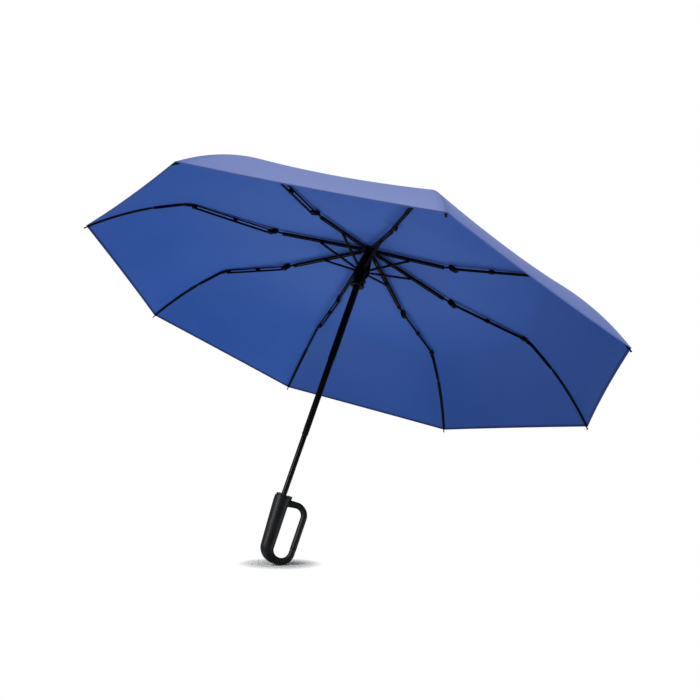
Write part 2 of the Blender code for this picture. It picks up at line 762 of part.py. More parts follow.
def handle_bend(angle):
    """Centre and radius of the lower bend, from the bar (0) round to the grip's end (pi)."""
    share = angle / pi
    if share < 0.5:
        radius = LOOP_RADIUS + (BEND_LOW_RADIUS - LOOP_RADIUS) * (share * 2) ** 2
    else:
        swell = (share - 0.5) * 2
        radius = BEND_LOW_RADIUS + (GRIP_END_RADIUS - BEND_LOW_RADIUS) * swell * swell * (3 - 2 * swell)
    reach = BEND_RADIUS + radius
    centre = (BEND_CENTRE_X + reach * cos(angle), 0, -GRIP_STRAIGHT - reach * sin(angle))
    return centre, radius


def grip_mesh():
    """The grip, the lower bend and the foot of the bar, as one swept bar."""
    end_x = BEND_CENTRE_X - BEND_RADIUS - GRIP_END_RADIUS
    shares = spread_evenly(0, 1, GRIP_POINTS)[:-1]
    points = [(GRIP_TOP_OFFSET, 0, -COLLAR_HEIGHT)]
    straight = GRIP_STRAIGHT - LOOP_ROOT_DROP
    points += [
        (GRIP_TOP_OFFSET + (end_x - GRIP_TOP_OFFSET) * s, 0, -LOOP_ROOT_DROP - straight * s) for s in shares
    ]
    radii = [GRIP_TOP_RADIUS]
    radii += [GRIP_TOP_RADIUS + (GRIP_END_RADIUS - GRIP_TOP_RADIUS) * s for s in shares]
    for angle in reversed(spread_evenly(0, pi, BEND_POINTS)):
        centre, radius = handle_bend(angle)
        points.append(centre)
        radii.append(radius)
    points.append((BAR_X, 0, -GATE_PIVOT_DROP))
    radii.append(LOOP_RADIUS)
    return swept(points, radii, HANDLE_SIDES)


def shoulder_mesh():
    """The upper part of the loop, from inside the grip over to the top of the gate."""
    centre = (BAR_X - SHOULDER_RADIUS, -SHOULDER_DROP - SHOULDER_RADIUS)
    bend = arc(centre, SHOULDER_RADIUS, pi / 2, 0, ARC_POINTS)
    route = [(LOOP_ROOT_X, -LOOP_ROOT_DROP)] + bend + [(BAR_X, -GATE_TOP_DROP - LOOP_RADIUS / 2)]
    points = [(x, 0, z) for x, z in route]
    return swept(points, [LOOP_RADIUS] * len(points), GATE_SIDES)


def button_pocket(grow):
    """The room that the button slides in, with a clearance all round."""
    return box(
        (BUTTON_INSIDE - BUTTON_TRAVEL - grow, -BUTTON_WIDTH / 2 - grow, -BUTTON_LOW - grow),
        (GRIP_TOP_RADIUS + OVERRUN, BUTTON_WIDTH / 2 + grow, BUTTON_HEIGHT),
    )


def across(x, z):
    """Carries a cylinder's axis to Y, at a point of the handle's own plane."""
    return Matrix.Translation((x, 0, z)) @ Matrix.Rotation(pi / 2, 4, "X")


def handle_body_mesh():
    bore = LOWER_TUBE_RADIUS + SEAT_GAP
    socket = cylinder(
        bore, SHAFT_SOCKET_DEPTH + OVERRUN, TURN_STEPS,
        Matrix.Translation((0, 0, -COLLAR_HEIGHT - SHAFT_SOCKET_DEPTH / 2 + OVERRUN / 2)),
    )
    cheeks = cylinder(FORK_RADIUS, FORK_CHEEK_OUTSIDE, GATE_SIDES, across(BAR_X, -GATE_PIVOT_DROP))
    slot = box(
        (BAR_X - FORK_RADIUS - OVERRUN, -FORK_SLOT / 2, -GATE_PIVOT_DROP - FORK_DEPTH),
        (BAR_X + FORK_RADIUS + OVERRUN, FORK_SLOT / 2, -GATE_PIVOT_DROP + FORK_RADIUS + OVERRUN),
    )
    pin_hole = cylinder(
        GATE_PIN_RADIUS + EYE_CLEARANCE, GATE_PIN_LENGTH + OVERRUN, HOLE_SIDES * 2,
        across(BAR_X, -GATE_PIVOT_DROP),
    )
    over_top = box(
        (BAR_X - LOOP_RADIUS - OVERRUN, -LOOP_RADIUS - OVERRUN, -GATE_TOP_DROP - LOOP_RADIUS - OVERRUN),
        (BAR_X + LOOP_RADIUS + OVERRUN, LOOP_RADIUS + OVERRUN, -GATE_TOP_DROP),
    )
    shoulder = cut(shoulder_mesh(), over_top)
    body = joined(grip_mesh(), cheeks, shoulder)
    return cut(body, slot, pin_hole, socket, button_pocket(SEAT_GAP))


def handle_collar_mesh():
    """A shallow cup round the shaft, its rim notched between the closed ribs' tips."""
    bore = LOWER_TUBE_RADIUS + SEAT_GAP
    rim = COLLAR_RADIUS - COLLAR_RIM_WALL
    low = -COLLAR_HEIGHT + SEAT_GAP
    profile = [
        (bore, -COLLAR_RECESS), (rim, -COLLAR_RECESS), (rim, 0), (COLLAR_RADIUS, 0),
        (COLLAR_RADIUS, low), (bore, low),
    ]
    notch = box(
        (rim - OVERRUN / 2, -NOTCH_WIDTH / 2, -NOTCH_DEPTH),
        (COLLAR_RADIUS + OVERRUN, NOTCH_WIDTH / 2, OVERRUN),
    )
    turns = [2 * pi * (i + 0.5) / RIB_COUNT for i in range(RIB_COUNT)]
    notches = gathered([moved(notch.copy(), Matrix.Rotation(t, 4, "Z")) for t in turns])
    return cut(turned(profile), notches, button_pocket(SEAT_GAP))


def button_mesh():
    outer = GRIP_TOP_RADIUS + BUTTON_PROUD
    mesh = box(
        (BUTTON_INSIDE, -BUTTON_WIDTH / 2, -BUTTON_LOW),
        (outer, BUTTON_WIDTH / 2, -BUTTON_LOW + BUTTON_HEIGHT),
    )
    item = temporary(mesh)
    rounding = item.modifiers.new("rounding", "BEVEL")
    rounding.width = BUTTON_ROUND
    rounding.segments = BUTTON_ROUND_STEPS
    return take_mesh(item)


def gate_mesh():
    """The sprung bar of the loop. Its origin is on the pin, and it stands up Z."""
    top = GATE_PIVOT_DROP - GATE_TOP_DROP - GATE_TOP_GAP
    nose = top - GATE_NOSE
    points = [(0, 0, GATE_KNEE), (0, 0, nose), (0, 0, top)]
    bar = swept(points, [GATE_RADIUS, GATE_RADIUS, GATE_RADIUS - GATE_NOSE], GATE_SIDES)
    outline = arc((0, 0), GATE_TONGUE_RADIUS, pi, 2 * pi, ARC_POINTS)
    outline += [(side * GATE_TONGUE_RADIUS, GATE_KNEE + GATE_RADIUS) for side in (1, -1)]
    stand = Matrix.Rotation(pi / 2, 4, "X")
    tongue = moved(plate(outline, GATE_TONGUE_THICKNESS), stand)
    hole = cylinder(
        GATE_PIN_RADIUS + EYE_CLEARANCE, GATE_TONGUE_THICKNESS + OVERRUN, HOLE_SIDES * 2, stand
    )
    return cut(joined(bar, tongue), hole)


def gate_pin_mesh():
    return cylinder(GATE_PIN_RADIUS, GATE_PIN_LENGTH, HOLE_SIDES * 2, Matrix.Rotation(pi / 2, 4, "X"))


def build_shaft():
    place("upper_tube", tube_mesh(UPPER_TUBE_RADIUS, UPPER_TUBE_LENGTH + CROWN_BORE_TOP - SEAT_GAP),
          "tube_metal", location=(0, 0, UPPER_TUBE_END_Z))
    place("middle_tube", tube_mesh(MIDDLE_TUBE_RADIUS, MIDDLE_TUBE_SHOWS + TUBE_OVERLAP),
          "tube_metal", location=(0, 0, MIDDLE_TUBE_END_Z))
    foot = HANDLE_TOP_Z - COLLAR_HEIGHT - SHAFT_SOCKET_DEPTH + SEAT_GAP
    place("lower_tube", tube_mesh(LOWER_TUBE_RADIUS, MIDDLE_TUBE_END_Z + TUBE_OVERLAP - foot),
          "tube_metal", location=(0, 0, foot))
    ring = bpy.data.objects.new("runner_hinge", None)
    parts.objects.link(ring)
    ring.location = (-HINGE_RADIUS, 0, CROWN_Z - RUNNER_DROP)
    place("runner", runner_mesh(), "frame_plastic", ring, location=(HINGE_RADIUS, 0, 0))
    place("crown", crown_mesh(), "frame_plastic", location=(0, 0, CROWN_Z))
    place("crown_cap", crown_cap_mesh(), "frame_plastic", location=(0, 0, CROWN_Z + CROWN_ABOVE))
    place("canopy", canopy_mesh(), "canopy_cloth", location=(0, 0, CROWN_Z))


def build_ribs():
    """Each rib's pieces are laid out in its own upright plane, held by an empty at the crown."""
    shapes = {
        "inner_rib": (inner_rib_mesh(), "rib_metal", CROWN_HINGE, -OPEN_ANGLE),
        "stretcher": (stretcher_mesh(), "rib_metal", STRETCHER_PIVOT, OPEN_ANGLE - pi),
        "mid_rib": (mid_rib_mesh(), "rib_metal", KNUCKLE, -MID_SLOPE),
        "link_rod": (link_rod_mesh(), "rib_metal", KNUCKLE, -MID_SLOPE),
        "outer_rib": (outer_rib_mesh(), "rib_fibre", ELBOW, OUTER_ANGLE),
    }
    tip_slope = outer_slope(1.0)
    mouth = OUTER_REACH + (TIP_BEYOND - TIP_LENGTH) * cos(tip_slope)
    tip_place = from_frame(ELBOW, OUTER_ANGLE, mouth, (TIP_BEYOND - TIP_LENGTH) * sin(tip_slope))
    shapes["rib_tip"] = (rib_tip_mesh(), "frame_plastic", tip_place, OUTER_ANGLE + tip_slope)
    for index in range(RIB_COUNT):
        turn = pi + 2 * pi * index / RIB_COUNT
        plane = bpy.data.objects.new(f"rib_plane_{index + 1}", None)
        parts.objects.link(plane)
        plane.location = (0, 0, CROWN_Z)
        plane.rotation_euler = (pi / 2, 0, turn)
        for name, (mesh, material, spot, angle) in shapes.items():
            place(f"{name}_{index + 1}", mesh, material, plane, (*spot, 0), angle)


def build_handle():
    top = (0, 0, HANDLE_TOP_Z)
    pivot = (BAR_X, 0, HANDLE_TOP_Z - GATE_PIVOT_DROP)
    place("handle_body", handle_body_mesh(), "handle_plastic", location=top)
    place("handle_collar", handle_collar_mesh(), "handle_plastic", location=top)
    place("button", button_mesh(), "button_plastic", location=top)
    place("gate", gate_mesh(), "handle_plastic", location=pivot)
    place("gate_pin", gate_pin_mesh(), "pin_steel", location=pivot)


build_shaft()
build_ribs()
build_handle()
bpy.context.view_layer.update()
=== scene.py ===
import json
from math import atan2, cos, hypot, pi, radians, sin, tan

import bmesh
import bpy
from mathutils import Euler, Matrix, Vector

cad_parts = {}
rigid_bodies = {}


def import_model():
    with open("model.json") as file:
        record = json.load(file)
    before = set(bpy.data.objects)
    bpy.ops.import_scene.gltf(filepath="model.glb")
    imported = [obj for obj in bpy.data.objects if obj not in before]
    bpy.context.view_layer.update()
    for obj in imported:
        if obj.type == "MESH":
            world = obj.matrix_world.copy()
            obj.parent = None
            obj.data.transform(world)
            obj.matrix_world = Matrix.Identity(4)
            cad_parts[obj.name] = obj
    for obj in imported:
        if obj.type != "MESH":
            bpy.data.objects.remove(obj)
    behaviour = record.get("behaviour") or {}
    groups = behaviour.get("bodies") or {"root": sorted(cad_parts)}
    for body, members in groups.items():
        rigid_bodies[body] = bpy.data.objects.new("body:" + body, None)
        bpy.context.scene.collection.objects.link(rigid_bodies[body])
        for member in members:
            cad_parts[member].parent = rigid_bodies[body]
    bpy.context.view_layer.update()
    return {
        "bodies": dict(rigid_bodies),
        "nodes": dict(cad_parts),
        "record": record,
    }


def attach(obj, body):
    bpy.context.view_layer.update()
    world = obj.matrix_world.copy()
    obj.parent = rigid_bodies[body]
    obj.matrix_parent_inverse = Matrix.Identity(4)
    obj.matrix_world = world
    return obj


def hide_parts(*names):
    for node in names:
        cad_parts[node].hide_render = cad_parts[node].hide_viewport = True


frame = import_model()
scene = bpy.context.scene
nodes, bodies = frame["nodes"], frame["bodies"]

# The rib plan in metres and degrees, heights counted from the crown's hinges
plan = {
    "ribs": 8, "crownHeight": 0.534, "hinge": 0.0105, "openAngle": 15.0, "pivot": 0.08,
    "knuckleReach": 0.165, "knuckleRise": 0.0105, "midReach": 0.162, "midSlope": 4.2, "elbowDrop": 0.0045,
    "tipRadius": 0.485, "tipDrop": 0.161, "bow": 0.0085, "heel": 0.0019,
}
ribNumbers = range(1, plan["ribs"] + 1)


def stepFrom(origin, angle, along, rise):
    return Vector((origin[0] + along * cos(angle) - rise * sin(angle),
                   origin[1] + along * sin(angle) + rise * cos(angle)))


openAngle, midSlope = radians(plan["openAngle"]), radians(plan["midSlope"])
crownHinge = Vector((plan["hinge"], 0))
stretcherPivot = stepFrom(crownHinge, -openAngle, plan["pivot"], 0)
knuckle = stepFrom(crownHinge, -openAngle, plan["knuckleReach"], plan["knuckleRise"])
elbow = stepFrom(knuckle, -midSlope, plan["midReach"], -plan["elbowDrop"])
tip = Vector((plan["tipRadius"], -plan["tipDrop"]))
outerReach = (tip - elbow).length
outerAngle = atan2(tip[1] - elbow[1], tip[0] - elbow[0])


def ribTurn(number):
    return pi + 2 * pi * (number - 1) / plan["ribs"]


def outerCentre(share):
    return plan["heel"] * (1 - share) + 4 * plan["bow"] * share * (1 - share)


# Camera and lights

view = {
    "place": (-0.21154, -1.37522, -0.1557), "turn": (104.18888, -19.90569, -8.58376),
    "lens": 42.280, "shift": (0.15856, 0.08193),
}
cameraData = bpy.data.cameras.new("camera")
cameraData.lens = view["lens"]
cameraData.sensor_width = 36.0
cameraData.shift_x, cameraData.shift_y = view["shift"]
camera = bpy.data.objects.new("camera", cameraData)
camera.location = view["place"]
camera.rotation_euler = Euler([radians(a) for a in view["turn"]], "XYZ")
scene.collection.objects.link(camera)
scene.camera = camera
scene.view_settings.view_transform = "Standard"
bpy.context.view_layer.update()
viewTurn = camera.matrix_world.to_3x3()
viewRight, viewUp, viewBack = (viewTurn @ Vector(v) for v in ((1, 0, 0), (0, 1, 0), (0, 0, 1)))

# Each disc: how far up, right and back of the hub as the camera sees it, its size and its power
lighting = {
    "skyShown": 1.0, "skyLight": 0.485,
    "discs": {"keyLight": (1.9, 0.3, -0.2, 1.6, 31.0), "leftFill": (-1.4, -1.3, 0.2, 1.6, 17.0),
              "rightFill": (-1.3, 1.4, 0.2, 1.6, 34.0)},
    "strip": {"place": (-0.50, -0.30, 0.12), "target": (0, 0, 0), "size": 0.30, "power": 0.56, "spread": 40},
}


def softLight(name, place, target, size, power, spread=180):
    data = bpy.data.lights.new(name, "AREA")
    data.shape = "DISK"
    data.spread = radians(spread)
    data.size = size
    data.energy = power
    light = bpy.data.objects.new(name, data)
    light.location = place
    light.rotation_euler = (Vector(target) - Vector(place)).to_track_quat("-Z", "Y").to_euler()
    scene.collection.objects.link(light)


hub = Vector((0, 0, plan["crownHeight"]))
for name, (up, right, back, size, power) in lighting["discs"].items():
    softLight(name, hub + viewUp * up + viewRight * right + viewBack * back, hub, size, power)
softLight("stripLight", **lighting["strip"])
print("camera and lights set:", len(bpy.data.lights), "lights")

# Shape helpers


def clamped(value):
    return min(max(value, 0.0), 1.0)


def eased(share):
    return share * share * (3 - 2 * share)


def circle(sides):
    return [(cos(2 * pi * s / sides), sin(2 * pi * s / sides)) for s in range(sides)]


def linked(name, mesh, material=None):
    item = bpy.data.objects.new(name, mesh)
    scene.collection.objects.link(item)
    if material:
        mesh.materials.clear()
        mesh.materials.append(material)
    return item


def finishedMesh(item):
    bpy.context.view_layer.update()
    graph = bpy.context.evaluated_depsgraph_get()
    mesh = bpy.data.meshes.new_from_object(item.evaluated_get(graph))
    bpy.data.objects.remove(item, do_unlink=True)
    return mesh


def meshFrom(name, shape):
    mesh = bpy.data.meshes.new(name)
    shape.to_mesh(mesh)
    shape.free()
    return mesh


def meshOf(name, build):
    shape = bmesh.new()
    build(shape)
    return meshFrom(name, shape)


# Skins rings of points one after another. A ring of one point is a pole.
def skinRings(shape, rings, capped=True):
    sides = max(len(ring) for ring in rings)
    for low, high in zip(rings, rings[1:]):
        for step in range(sides):
            after = (step + 1) % sides
            corners = (low[step % len(low)], low[after % len(low)],
                       high[after % len(high)], high[step % len(high)])
            shape.faces.new(list(dict.fromkeys(corners)))
    if capped:
        shape.faces.new(reversed(rings[0]))
        shape.faces.new(rings[-1])
    bmesh.ops.recalc_face_normals(shape, faces=shape.faces)


# Closes two like outlines of points into a straight bar
def addPrism(shape, near, far):
    faces = [shape.faces.new(near), shape.faces.new(reversed(far))]
    for index, vert in enumerate(near):
        after = (index + 1) % len(near)
        faces.append(shape.faces.new((vert, far[index], far[after], near[after])))
    bmesh.ops.recalc_face_normals(shape, faces=faces)


# A round bar along a flat route in X and Z, with a radius at each point
def sweepBar(shape, route, radii, sides):
    rings = []
    for index, (x, z) in enumerate(route):
        before, after = Vector(route[max(index - 1, 0)]), Vector(route[min(index + 1, len(route) - 1)])
        ahead = (after - before).normalized()
        out = Vector((ahead[1], 0, -ahead[0]))
        rings.append([shape.verts.new(Vector((x, 0, z)) + radii[index] * (out * c + Vector((0, 1, 0)) * s))
                      for c, s in circle(sides)])
    skinRings(shape, rings)


def addCylinder(shape, radius, length, sides, matrix):
    bmesh.ops.create_cone(shape, cap_ends=True, segments=sides, radius1=radius, radius2=radius,
                          depth=length, matrix=matrix)


def addBox(shape, low, high):
    low, high = Vector(low), Vector(high)
    spread = Matrix.Diagonal((*(high - low), 1))
    bmesh.ops.create_cube(shape, size=1.0, matrix=Matrix.Translation((low + high) / 2) @ spread)


def withTool(mesh, tool, operation):
    item, helper = linked("work", mesh), linked("tool", tool)
    change = item.modifiers.new("change", "BOOLEAN")
    change.operation, change.solver, change.object = operation, "EXACT", helper
    made = finishedMesh(item)
    bpy.data.objects.remove(helper, do_unlink=True)
    return made


# Melts a shape's edges and joints together, as moulded plastic has them
def moulded(mesh, grain, passes):
    item = linked("work", mesh)
    remesh = item.modifiers.new("remesh", "REMESH")
    remesh.mode = "VOXEL"
    remesh.voxel_size = grain
    remesh.use_smooth_shade = True
    relax = item.modifiers.new("relax", "SMOOTH")
    relax.factor = 0.5
    relax.iterations = passes
    return finishedMesh(item)


# Materials


def startMaterial(name, colour, roughness, **sockets):
    material = bpy.data.materials.new(name)
    material.use_nodes = True
    tree = material.node_tree
    shader = tree.nodes["Principled BSDF"]
    shader.inputs["Base Color"].default_value = (*colour, 1)
    shader.inputs["Roughness"].default_value = roughness
    for socket, value in sockets.items():
        shader.inputs[socket.replace("_", " ")].default_value = value
    return material, tree, shader


def treeNode(tree, kind, inputs=None, **settings):
    node = tree.nodes.new(kind)
    for key, value in settings.items():
        setattr(node, key, value)
    for key, value in (inputs or {}).items():
        socket = node.inputs[key]
        if isinstance(value, bpy.types.NodeSocket):
            tree.links.new(value, socket)
        else:
            socket.default_value = value
    return node


def addNode(tree, kind, inputs=None, **settings):
    return treeNode(tree, "ShaderNode" + kind, inputs, **settings)


def noiseOn(tree, vector, scale, detail=3.0, stretch=None):
    if stretch:
        mapping = addNode(tree, "Mapping", {"Vector": vector, "Scale": stretch})
        vector = mapping.outputs["Vector"]
    return addNode(tree, "TexNoise", {"Vector": vector, "Scale": scale, "Detail": detail}).outputs["Fac"]


def ranged(tree, value, low, high, fromLow=0.0, fromHigh=1.0):
    return addNode(tree, "MapRange", {
        "Value": value, "From Min": fromLow, "From Max": fromHigh, "To Min": low, "To Max": high,
    }).outputs["Result"]


def mixedColour(tree, share, first, second):
    first, second = ((*c, 1) if isinstance(c, tuple) else c for c in (first, second))
    return addNode(tree, "Mix", {0: share, 6: first, 7: second}, data_type="RGBA").outputs[2]


def showMixed(tree, share, first, second):
    mix = addNode(tree, "MixShader", {0: share, 1: first.outputs["BSDF"], 2: second.outputs["BSDF"]})
    tree.links.new(mix.outputs["Shader"], tree.nodes["Material Output"].inputs["Surface"])


def bumped(tree, shader, height, depth, strength=1.0):
    bump = addNode(tree, "Bump", {"Height": height, "Distance": depth, "Strength": strength})
    tree.links.new(bump.outputs["Normal"], shader.inputs["Normal"])


def mathOn(tree, operation, first, second=0.0):
    return addNode(tree, "Math", {0: first, 1: second}, operation=operation).outputs[0]


# The world is seen white and lights the part more softly
world = bpy.data.worlds.new("studio")
scene.world = world
world.use_nodes = True
sky, background = world.node_tree, world.node_tree.nodes["Background"]
background.inputs["Color"].default_value = (1, 1, 1, 1)
seen = addNode(sky, "LightPath").outputs["Is Camera Ray"]
brightness = ranged(sky, seen, lighting["skyLight"], lighting["skyShown"])
sky.links.new(brightness, background.inputs["Strength"])


# A coated or moulded finish: two tones, edges lighter as wear and as a painted highlight, uneven gloss and a
# fine grain
def finishMaterial(name, look):
    (dark, light, edge), (rough, roughRange) = look["tones"], look["gloss"]
    (broadScale, fineScale), stretch = look["scales"], look.get("stretch")
    material, tree, shader = startMaterial(name, dark, rough, **look["sockets"])
    coords = addNode(tree, "TexCoord").outputs["Object"]
    broad = noiseOn(tree, coords, broadScale, 4.0, stretch)
    tone = mixedColour(tree, ranged(tree, broad, 0.0, 1.0, 0.35, 0.65), dark, light)
    edges = addNode(tree, "NewGeometry").outputs["Pointiness"]
    # Convex edges are painted lighter: wear, and a painted highlight along the edges
    wornAndLitEdge = mathOn(tree, "MULTIPLY", ranged(tree, edges, 0.0, look["edgeWearAndHighlight"], 0.52, 0.6), broad)
    tree.links.new(mixedColour(tree, wornAndLitEdge, tone, edge), shader.inputs["Base Color"])
    gloss = ranged(tree, broad, rough - roughRange, rough + roughRange)
    tree.links.new(gloss, shader.inputs["Roughness"])
    bumped(tree, shader, noiseOn(tree, coords, fineScale, 2.0, stretch), *look["grain"])
    return material


# Tones are dark, light and the lighter edge, which stands for wear and a painted edge highlight. Gloss is the
# roughness and its range, scales are the broad and the fine noise, and grain is its depth and strength.
finishes = {
    "rib_metal": {
        "tones": ((0.0013, 0.0015, 0.0020), (0.0030, 0.0033, 0.0040), (0.020, 0.021, 0.023)),
        "gloss": (0.30, 0.08), "scales": (60.0, 1400.0), "edgeWearAndHighlight": 0.25, "grain": (0.00004, 0.5),
        "sockets": {"Metallic": 0.1, "Specular_IOR_Level": 0.025},
    },
    "rib_fibre": {
        "tones": ((0.0018, 0.0020, 0.0028), (0.0038, 0.0042, 0.0054), (0.014, 0.014, 0.016)),
        "gloss": (0.38, 0.07), "scales": (90.0, 1800.0), "edgeWearAndHighlight": 0.2, "grain": (0.00003, 0.4),
        "sockets": {"Specular_IOR_Level": 0.025},
    },
    "tube_metal": {
        "tones": ((0.0010, 0.0012, 0.0015), (0.0024, 0.0027, 0.0032), (0.020, 0.020, 0.021)),
        "gloss": (0.27, 0.05), "scales": (30.0, 900.0), "edgeWearAndHighlight": 0.2, "grain": (0.00002, 0.25),
        "stretch": (6.0, 6.0, 0.25), "sockets": {"Metallic": 0.05, "Specular_IOR_Level": 0.045},
    },
    "frame_plastic": {
        "tones": ((0.0013, 0.0013, 0.0016), (0.0032, 0.0032, 0.0037), (0.016, 0.016, 0.017)),
        "gloss": (0.36, 0.08), "scales": (120.0, 1600.0), "edgeWearAndHighlight": 0.25, "grain": (0.00005, 0.5),
        "sockets": {"Specular_IOR_Level": 0.04},
    },
    "handle_plastic": {
        "tones": ((0.0024, 0.0030, 0.0036), (0.0040, 0.0048, 0.0056), (0.014, 0.015, 0.016)),
        "gloss": (0.46, 0.05), "scales": (45.0, 1500.0), "edgeWearAndHighlight": 0.15, "grain": (0.00006, 0.6),
        "sockets": {"Specular_IOR_Level": 0.09},
    },
    "button_plastic": {
        "tones": ((0.0030, 0.0030, 0.0035), (0.0050, 0.0050, 0.0055), (0.02, 0.02, 0.02)),
        "gloss": (0.26, 0.04), "scales": (150.0, 1700.0), "edgeWearAndHighlight": 0.2, "grain": (0.00003, 0.4),
        "sockets": {"Specular_IOR_Level": 0.40},
    },
    # A lighter steel for the wire in the inner channels: a painted highlight
    "spring_steel": {
        "tones": ((0.022, 0.021, 0.016), (0.050, 0.048, 0.038), (0.16, 0.155, 0.14)),
        "gloss": (0.42, 0.08), "scales": (160.0, 2000.0), "edgeWearAndHighlight": 0.4, "grain": (0.00002, 0.4),
        "sockets": {"Metallic": 0.6},
    },
    "pin_steel": {
        "tones": ((0.030, 0.031, 0.032), (0.050, 0.051, 0.052), (0.12, 0.12, 0.12)),
        "gloss": (0.38, 0.08), "scales": (200.0, 2200.0), "edgeWearAndHighlight": 0.5, "grain": (0.00002, 0.4),
        "sockets": {"Metallic": 1.0},
    },
}
looks = {name: finishMaterial(name, look) for name, look in finishes.items()}
slotOf = {row["node"]: row["material_slot"] for row in frame["record"]["subparts"]}
for name, item in nodes.items():
    if slotOf[name] in looks:
        item.data.materials.clear()
        item.data.materials.append(looks[slotOf[name]])
print("finishes made:", len(looks))


# A finished mesh as a piece of the part, and the CAD node that it stands for.
def addPiece(name, mesh, finish, body, node=None):
    item = linked(name, mesh, looks[finish])
    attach(item, body)
    if node:
        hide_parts(node)
    return item


# Canopy cloth: pongee with a fine weave, a stitched hem and sewn seams over the ribs, painted darker along
# hem and seams as painted shade

clothLook = {
    "inside": {"deep": (0.0185, 0.079, 0.330), "pale": (0.049, 0.119, 0.394), "sheen": 0.05, "gloss": 0.15,
               "hemShadeStrength": 0.9},
    # The outside skin's colours are painted lighter than the inside's: painted light, as if lit from above
    "outside": {"deep": (0.078, 0.163, 0.590), "pale": (0.082, 0.170, 0.620), "sheen": 0.28, "gloss": 0.33,
                "hemShadeStrength": 0.12},
    "paintedShadeTone": (0.008, 0.024, 0.120), "roughness": 0.50, "sheenRoughness": 0.35,
    "sheenTint": (0.80, 0.86, 1.0, 1), "glow": 0.25, "paintedSheenSpan": (0.05, 0.38), "paintedSheenShare": 0.75,
    "cloudScale": 7.0, "fleckScale": 900.0, "cloudShare": 0.75, "patchRange": (0.3, 0.7),
    "hemShadeSpan": (0.00416, 0.0052), "seamShadeSpan": (0.0015, 0.0030), "seamShade": 0.3,
    "thread": 0.00035, "stitch": 0.0028, "stitchWidth": (0.0006, 0.0014),
    "reliefDepth": 0.00006, "reliefStrength": 0.6, "weaveHeight": 0.25, "stitchHeight": 1.5, "hemHeight": 3.0,
}


def clothMaterial(name, side):
    look = clothLook
    material, tree, shader = startMaterial(
        name, side["deep"], look["roughness"], Sheen_Roughness=look["sheenRoughness"],
        Sheen_Tint=look["sheenTint"], Sheen_Weight=side["sheen"], Specular_IOR_Level=side["gloss"])

    def times(first, second):
        return mathOn(tree, "MULTIPLY", first, second)

    def plus(first, second):
        return mathOn(tree, "ADD", first, second)

    def waves(value, length):
        return mathOn(tree, "SINE", times(value, 2 * pi / length))

    coords = addNode(tree, "TexCoord").outputs
    uv = addNode(tree, "SeparateXYZ", {"Vector": coords["UV"]}).outputs
    seamGap, rimGap = (addNode(tree, "Attribute", attribute_name=gap).outputs["Fac"]
                       for gap in ("seamGap", "rimGap"))
    cloud = times(noiseOn(tree, coords["Object"], look["cloudScale"], 3.0), look["cloudShare"])
    flecks = times(noiseOn(tree, coords["Object"], look["fleckScale"], 2.0), 1 - look["cloudShare"])
    # Painted sheen: the cloth is painted paler away from the rim, towards the crown
    rise = times(ranged(tree, rimGap, 0.0, 1.0, *look["paintedSheenSpan"]), look["paintedSheenShare"])
    patches = times(ranged(tree, plus(cloud, flecks), 0.0, 1.0, *look["patchRange"]), 1 - look["paintedSheenShare"])
    tone = mixedColour(tree, plus(rise, patches), side["deep"], side["pale"])
    # Painted shade: the hem is darkened over its real double layer, much more on the inside skin, and the
    # seams over the ribs are darkened too
    hemShadeMask = ranged(tree, rimGap, side["hemShadeStrength"], 0.0, *look["hemShadeSpan"])
    seamShadeMask = ranged(tree, seamGap, look["seamShade"], 0.0, *look["seamShadeSpan"])
    hemAndSeamShade = mathOn(tree, "MAXIMUM", hemShadeMask, seamShadeMask)
    colour = mixedColour(tree, hemAndSeamShade, tone, look["paintedShadeTone"])
    tree.links.new(colour, shader.inputs["Base Color"])
    weave = times(waves(uv["X"], look["thread"]), waves(uv["Y"], look["thread"]))
    sewn = times(ranged(tree, seamGap, 1.0, 0.0, *look["stitchWidth"]), waves(uv["Y"], look["stitch"]))
    height = plus(plus(times(weave, look["weaveHeight"]), times(sewn, look["stitchHeight"])),
                  times(hemAndSeamShade, look["hemHeight"]))
    bumped(tree, shader, height, look["reliefDepth"], look["reliefStrength"])
    showMixed(tree, look["glow"], shader, addNode(tree, "BsdfTranslucent", {"Color": colour}))
    return material


# The outside material is the cloth painted lighter, as if lit from above
clothInside = clothMaterial("clothInside", clothLook["inside"])
clothOutsidePaintedLit = clothMaterial("clothOutsidePaintedLit", clothLook["outside"])

# Canopy: one gore is drawn row by row, turned eight times round the shaft and sewn together

canopy = {
    "crownTop": 0.0044, "hole": 0.0035, "shoulder": 0.0144, "overKnuckle": 0.0044, "overElbow": 0.0051,
    "overRod": (0.0016, 0.0021), "rodGap": 0.0006, "thickness": 0.0004, "hemThickness": 0.0008,
    "hemWidth": 0.005, "hemLead": (0.01, 0.006), "scallop": 0.0032, "droop": 0.0005, "sag": 0.018,
    "sagOnset": 0.6, "sagFade": 1.5, "columns": 24, "rows": (3, 18, 18, 26), "rounding": 0.035,
    "rounded": (1.2, 3.9), "roundingDip": 0.0002, "mergeWithin": 0.00002,
    "blends": ((1.0, 0.12), (2.0, 0.03), (3.0, 0.03)), "besideBar": (1.08, 3.3), "barEase": (0.12, 0.25),
    "barRoom": 0.0078, "leastChord": 0.05,
}


# Height and reach of the cloth over a rib. Along counts 0 to 1 over the crown, 1 to 2 over the
# inner rib, 2 to 3 over the middle rib and 3 to 4 over the outer rib.
def clothLine(along):
    top = canopy["crownTop"]
    corners = [Vector((canopy["hole"], top)), Vector((canopy["shoulder"], top)),
               knuckle + Vector((0, canopy["overKnuckle"])), elbow + Vector((0, canopy["overElbow"]))]
    part = min(int(along), 3)
    share = along - part
    if part < 3:
        return corners[part].lerp(corners[part + 1], share)
    near, far = canopy["overRod"]
    cover = near * (1 - share) + far * share + canopy["rodGap"]
    return stepFrom(elbow, outerAngle, share * outerReach, outerCentre(share) + cover)


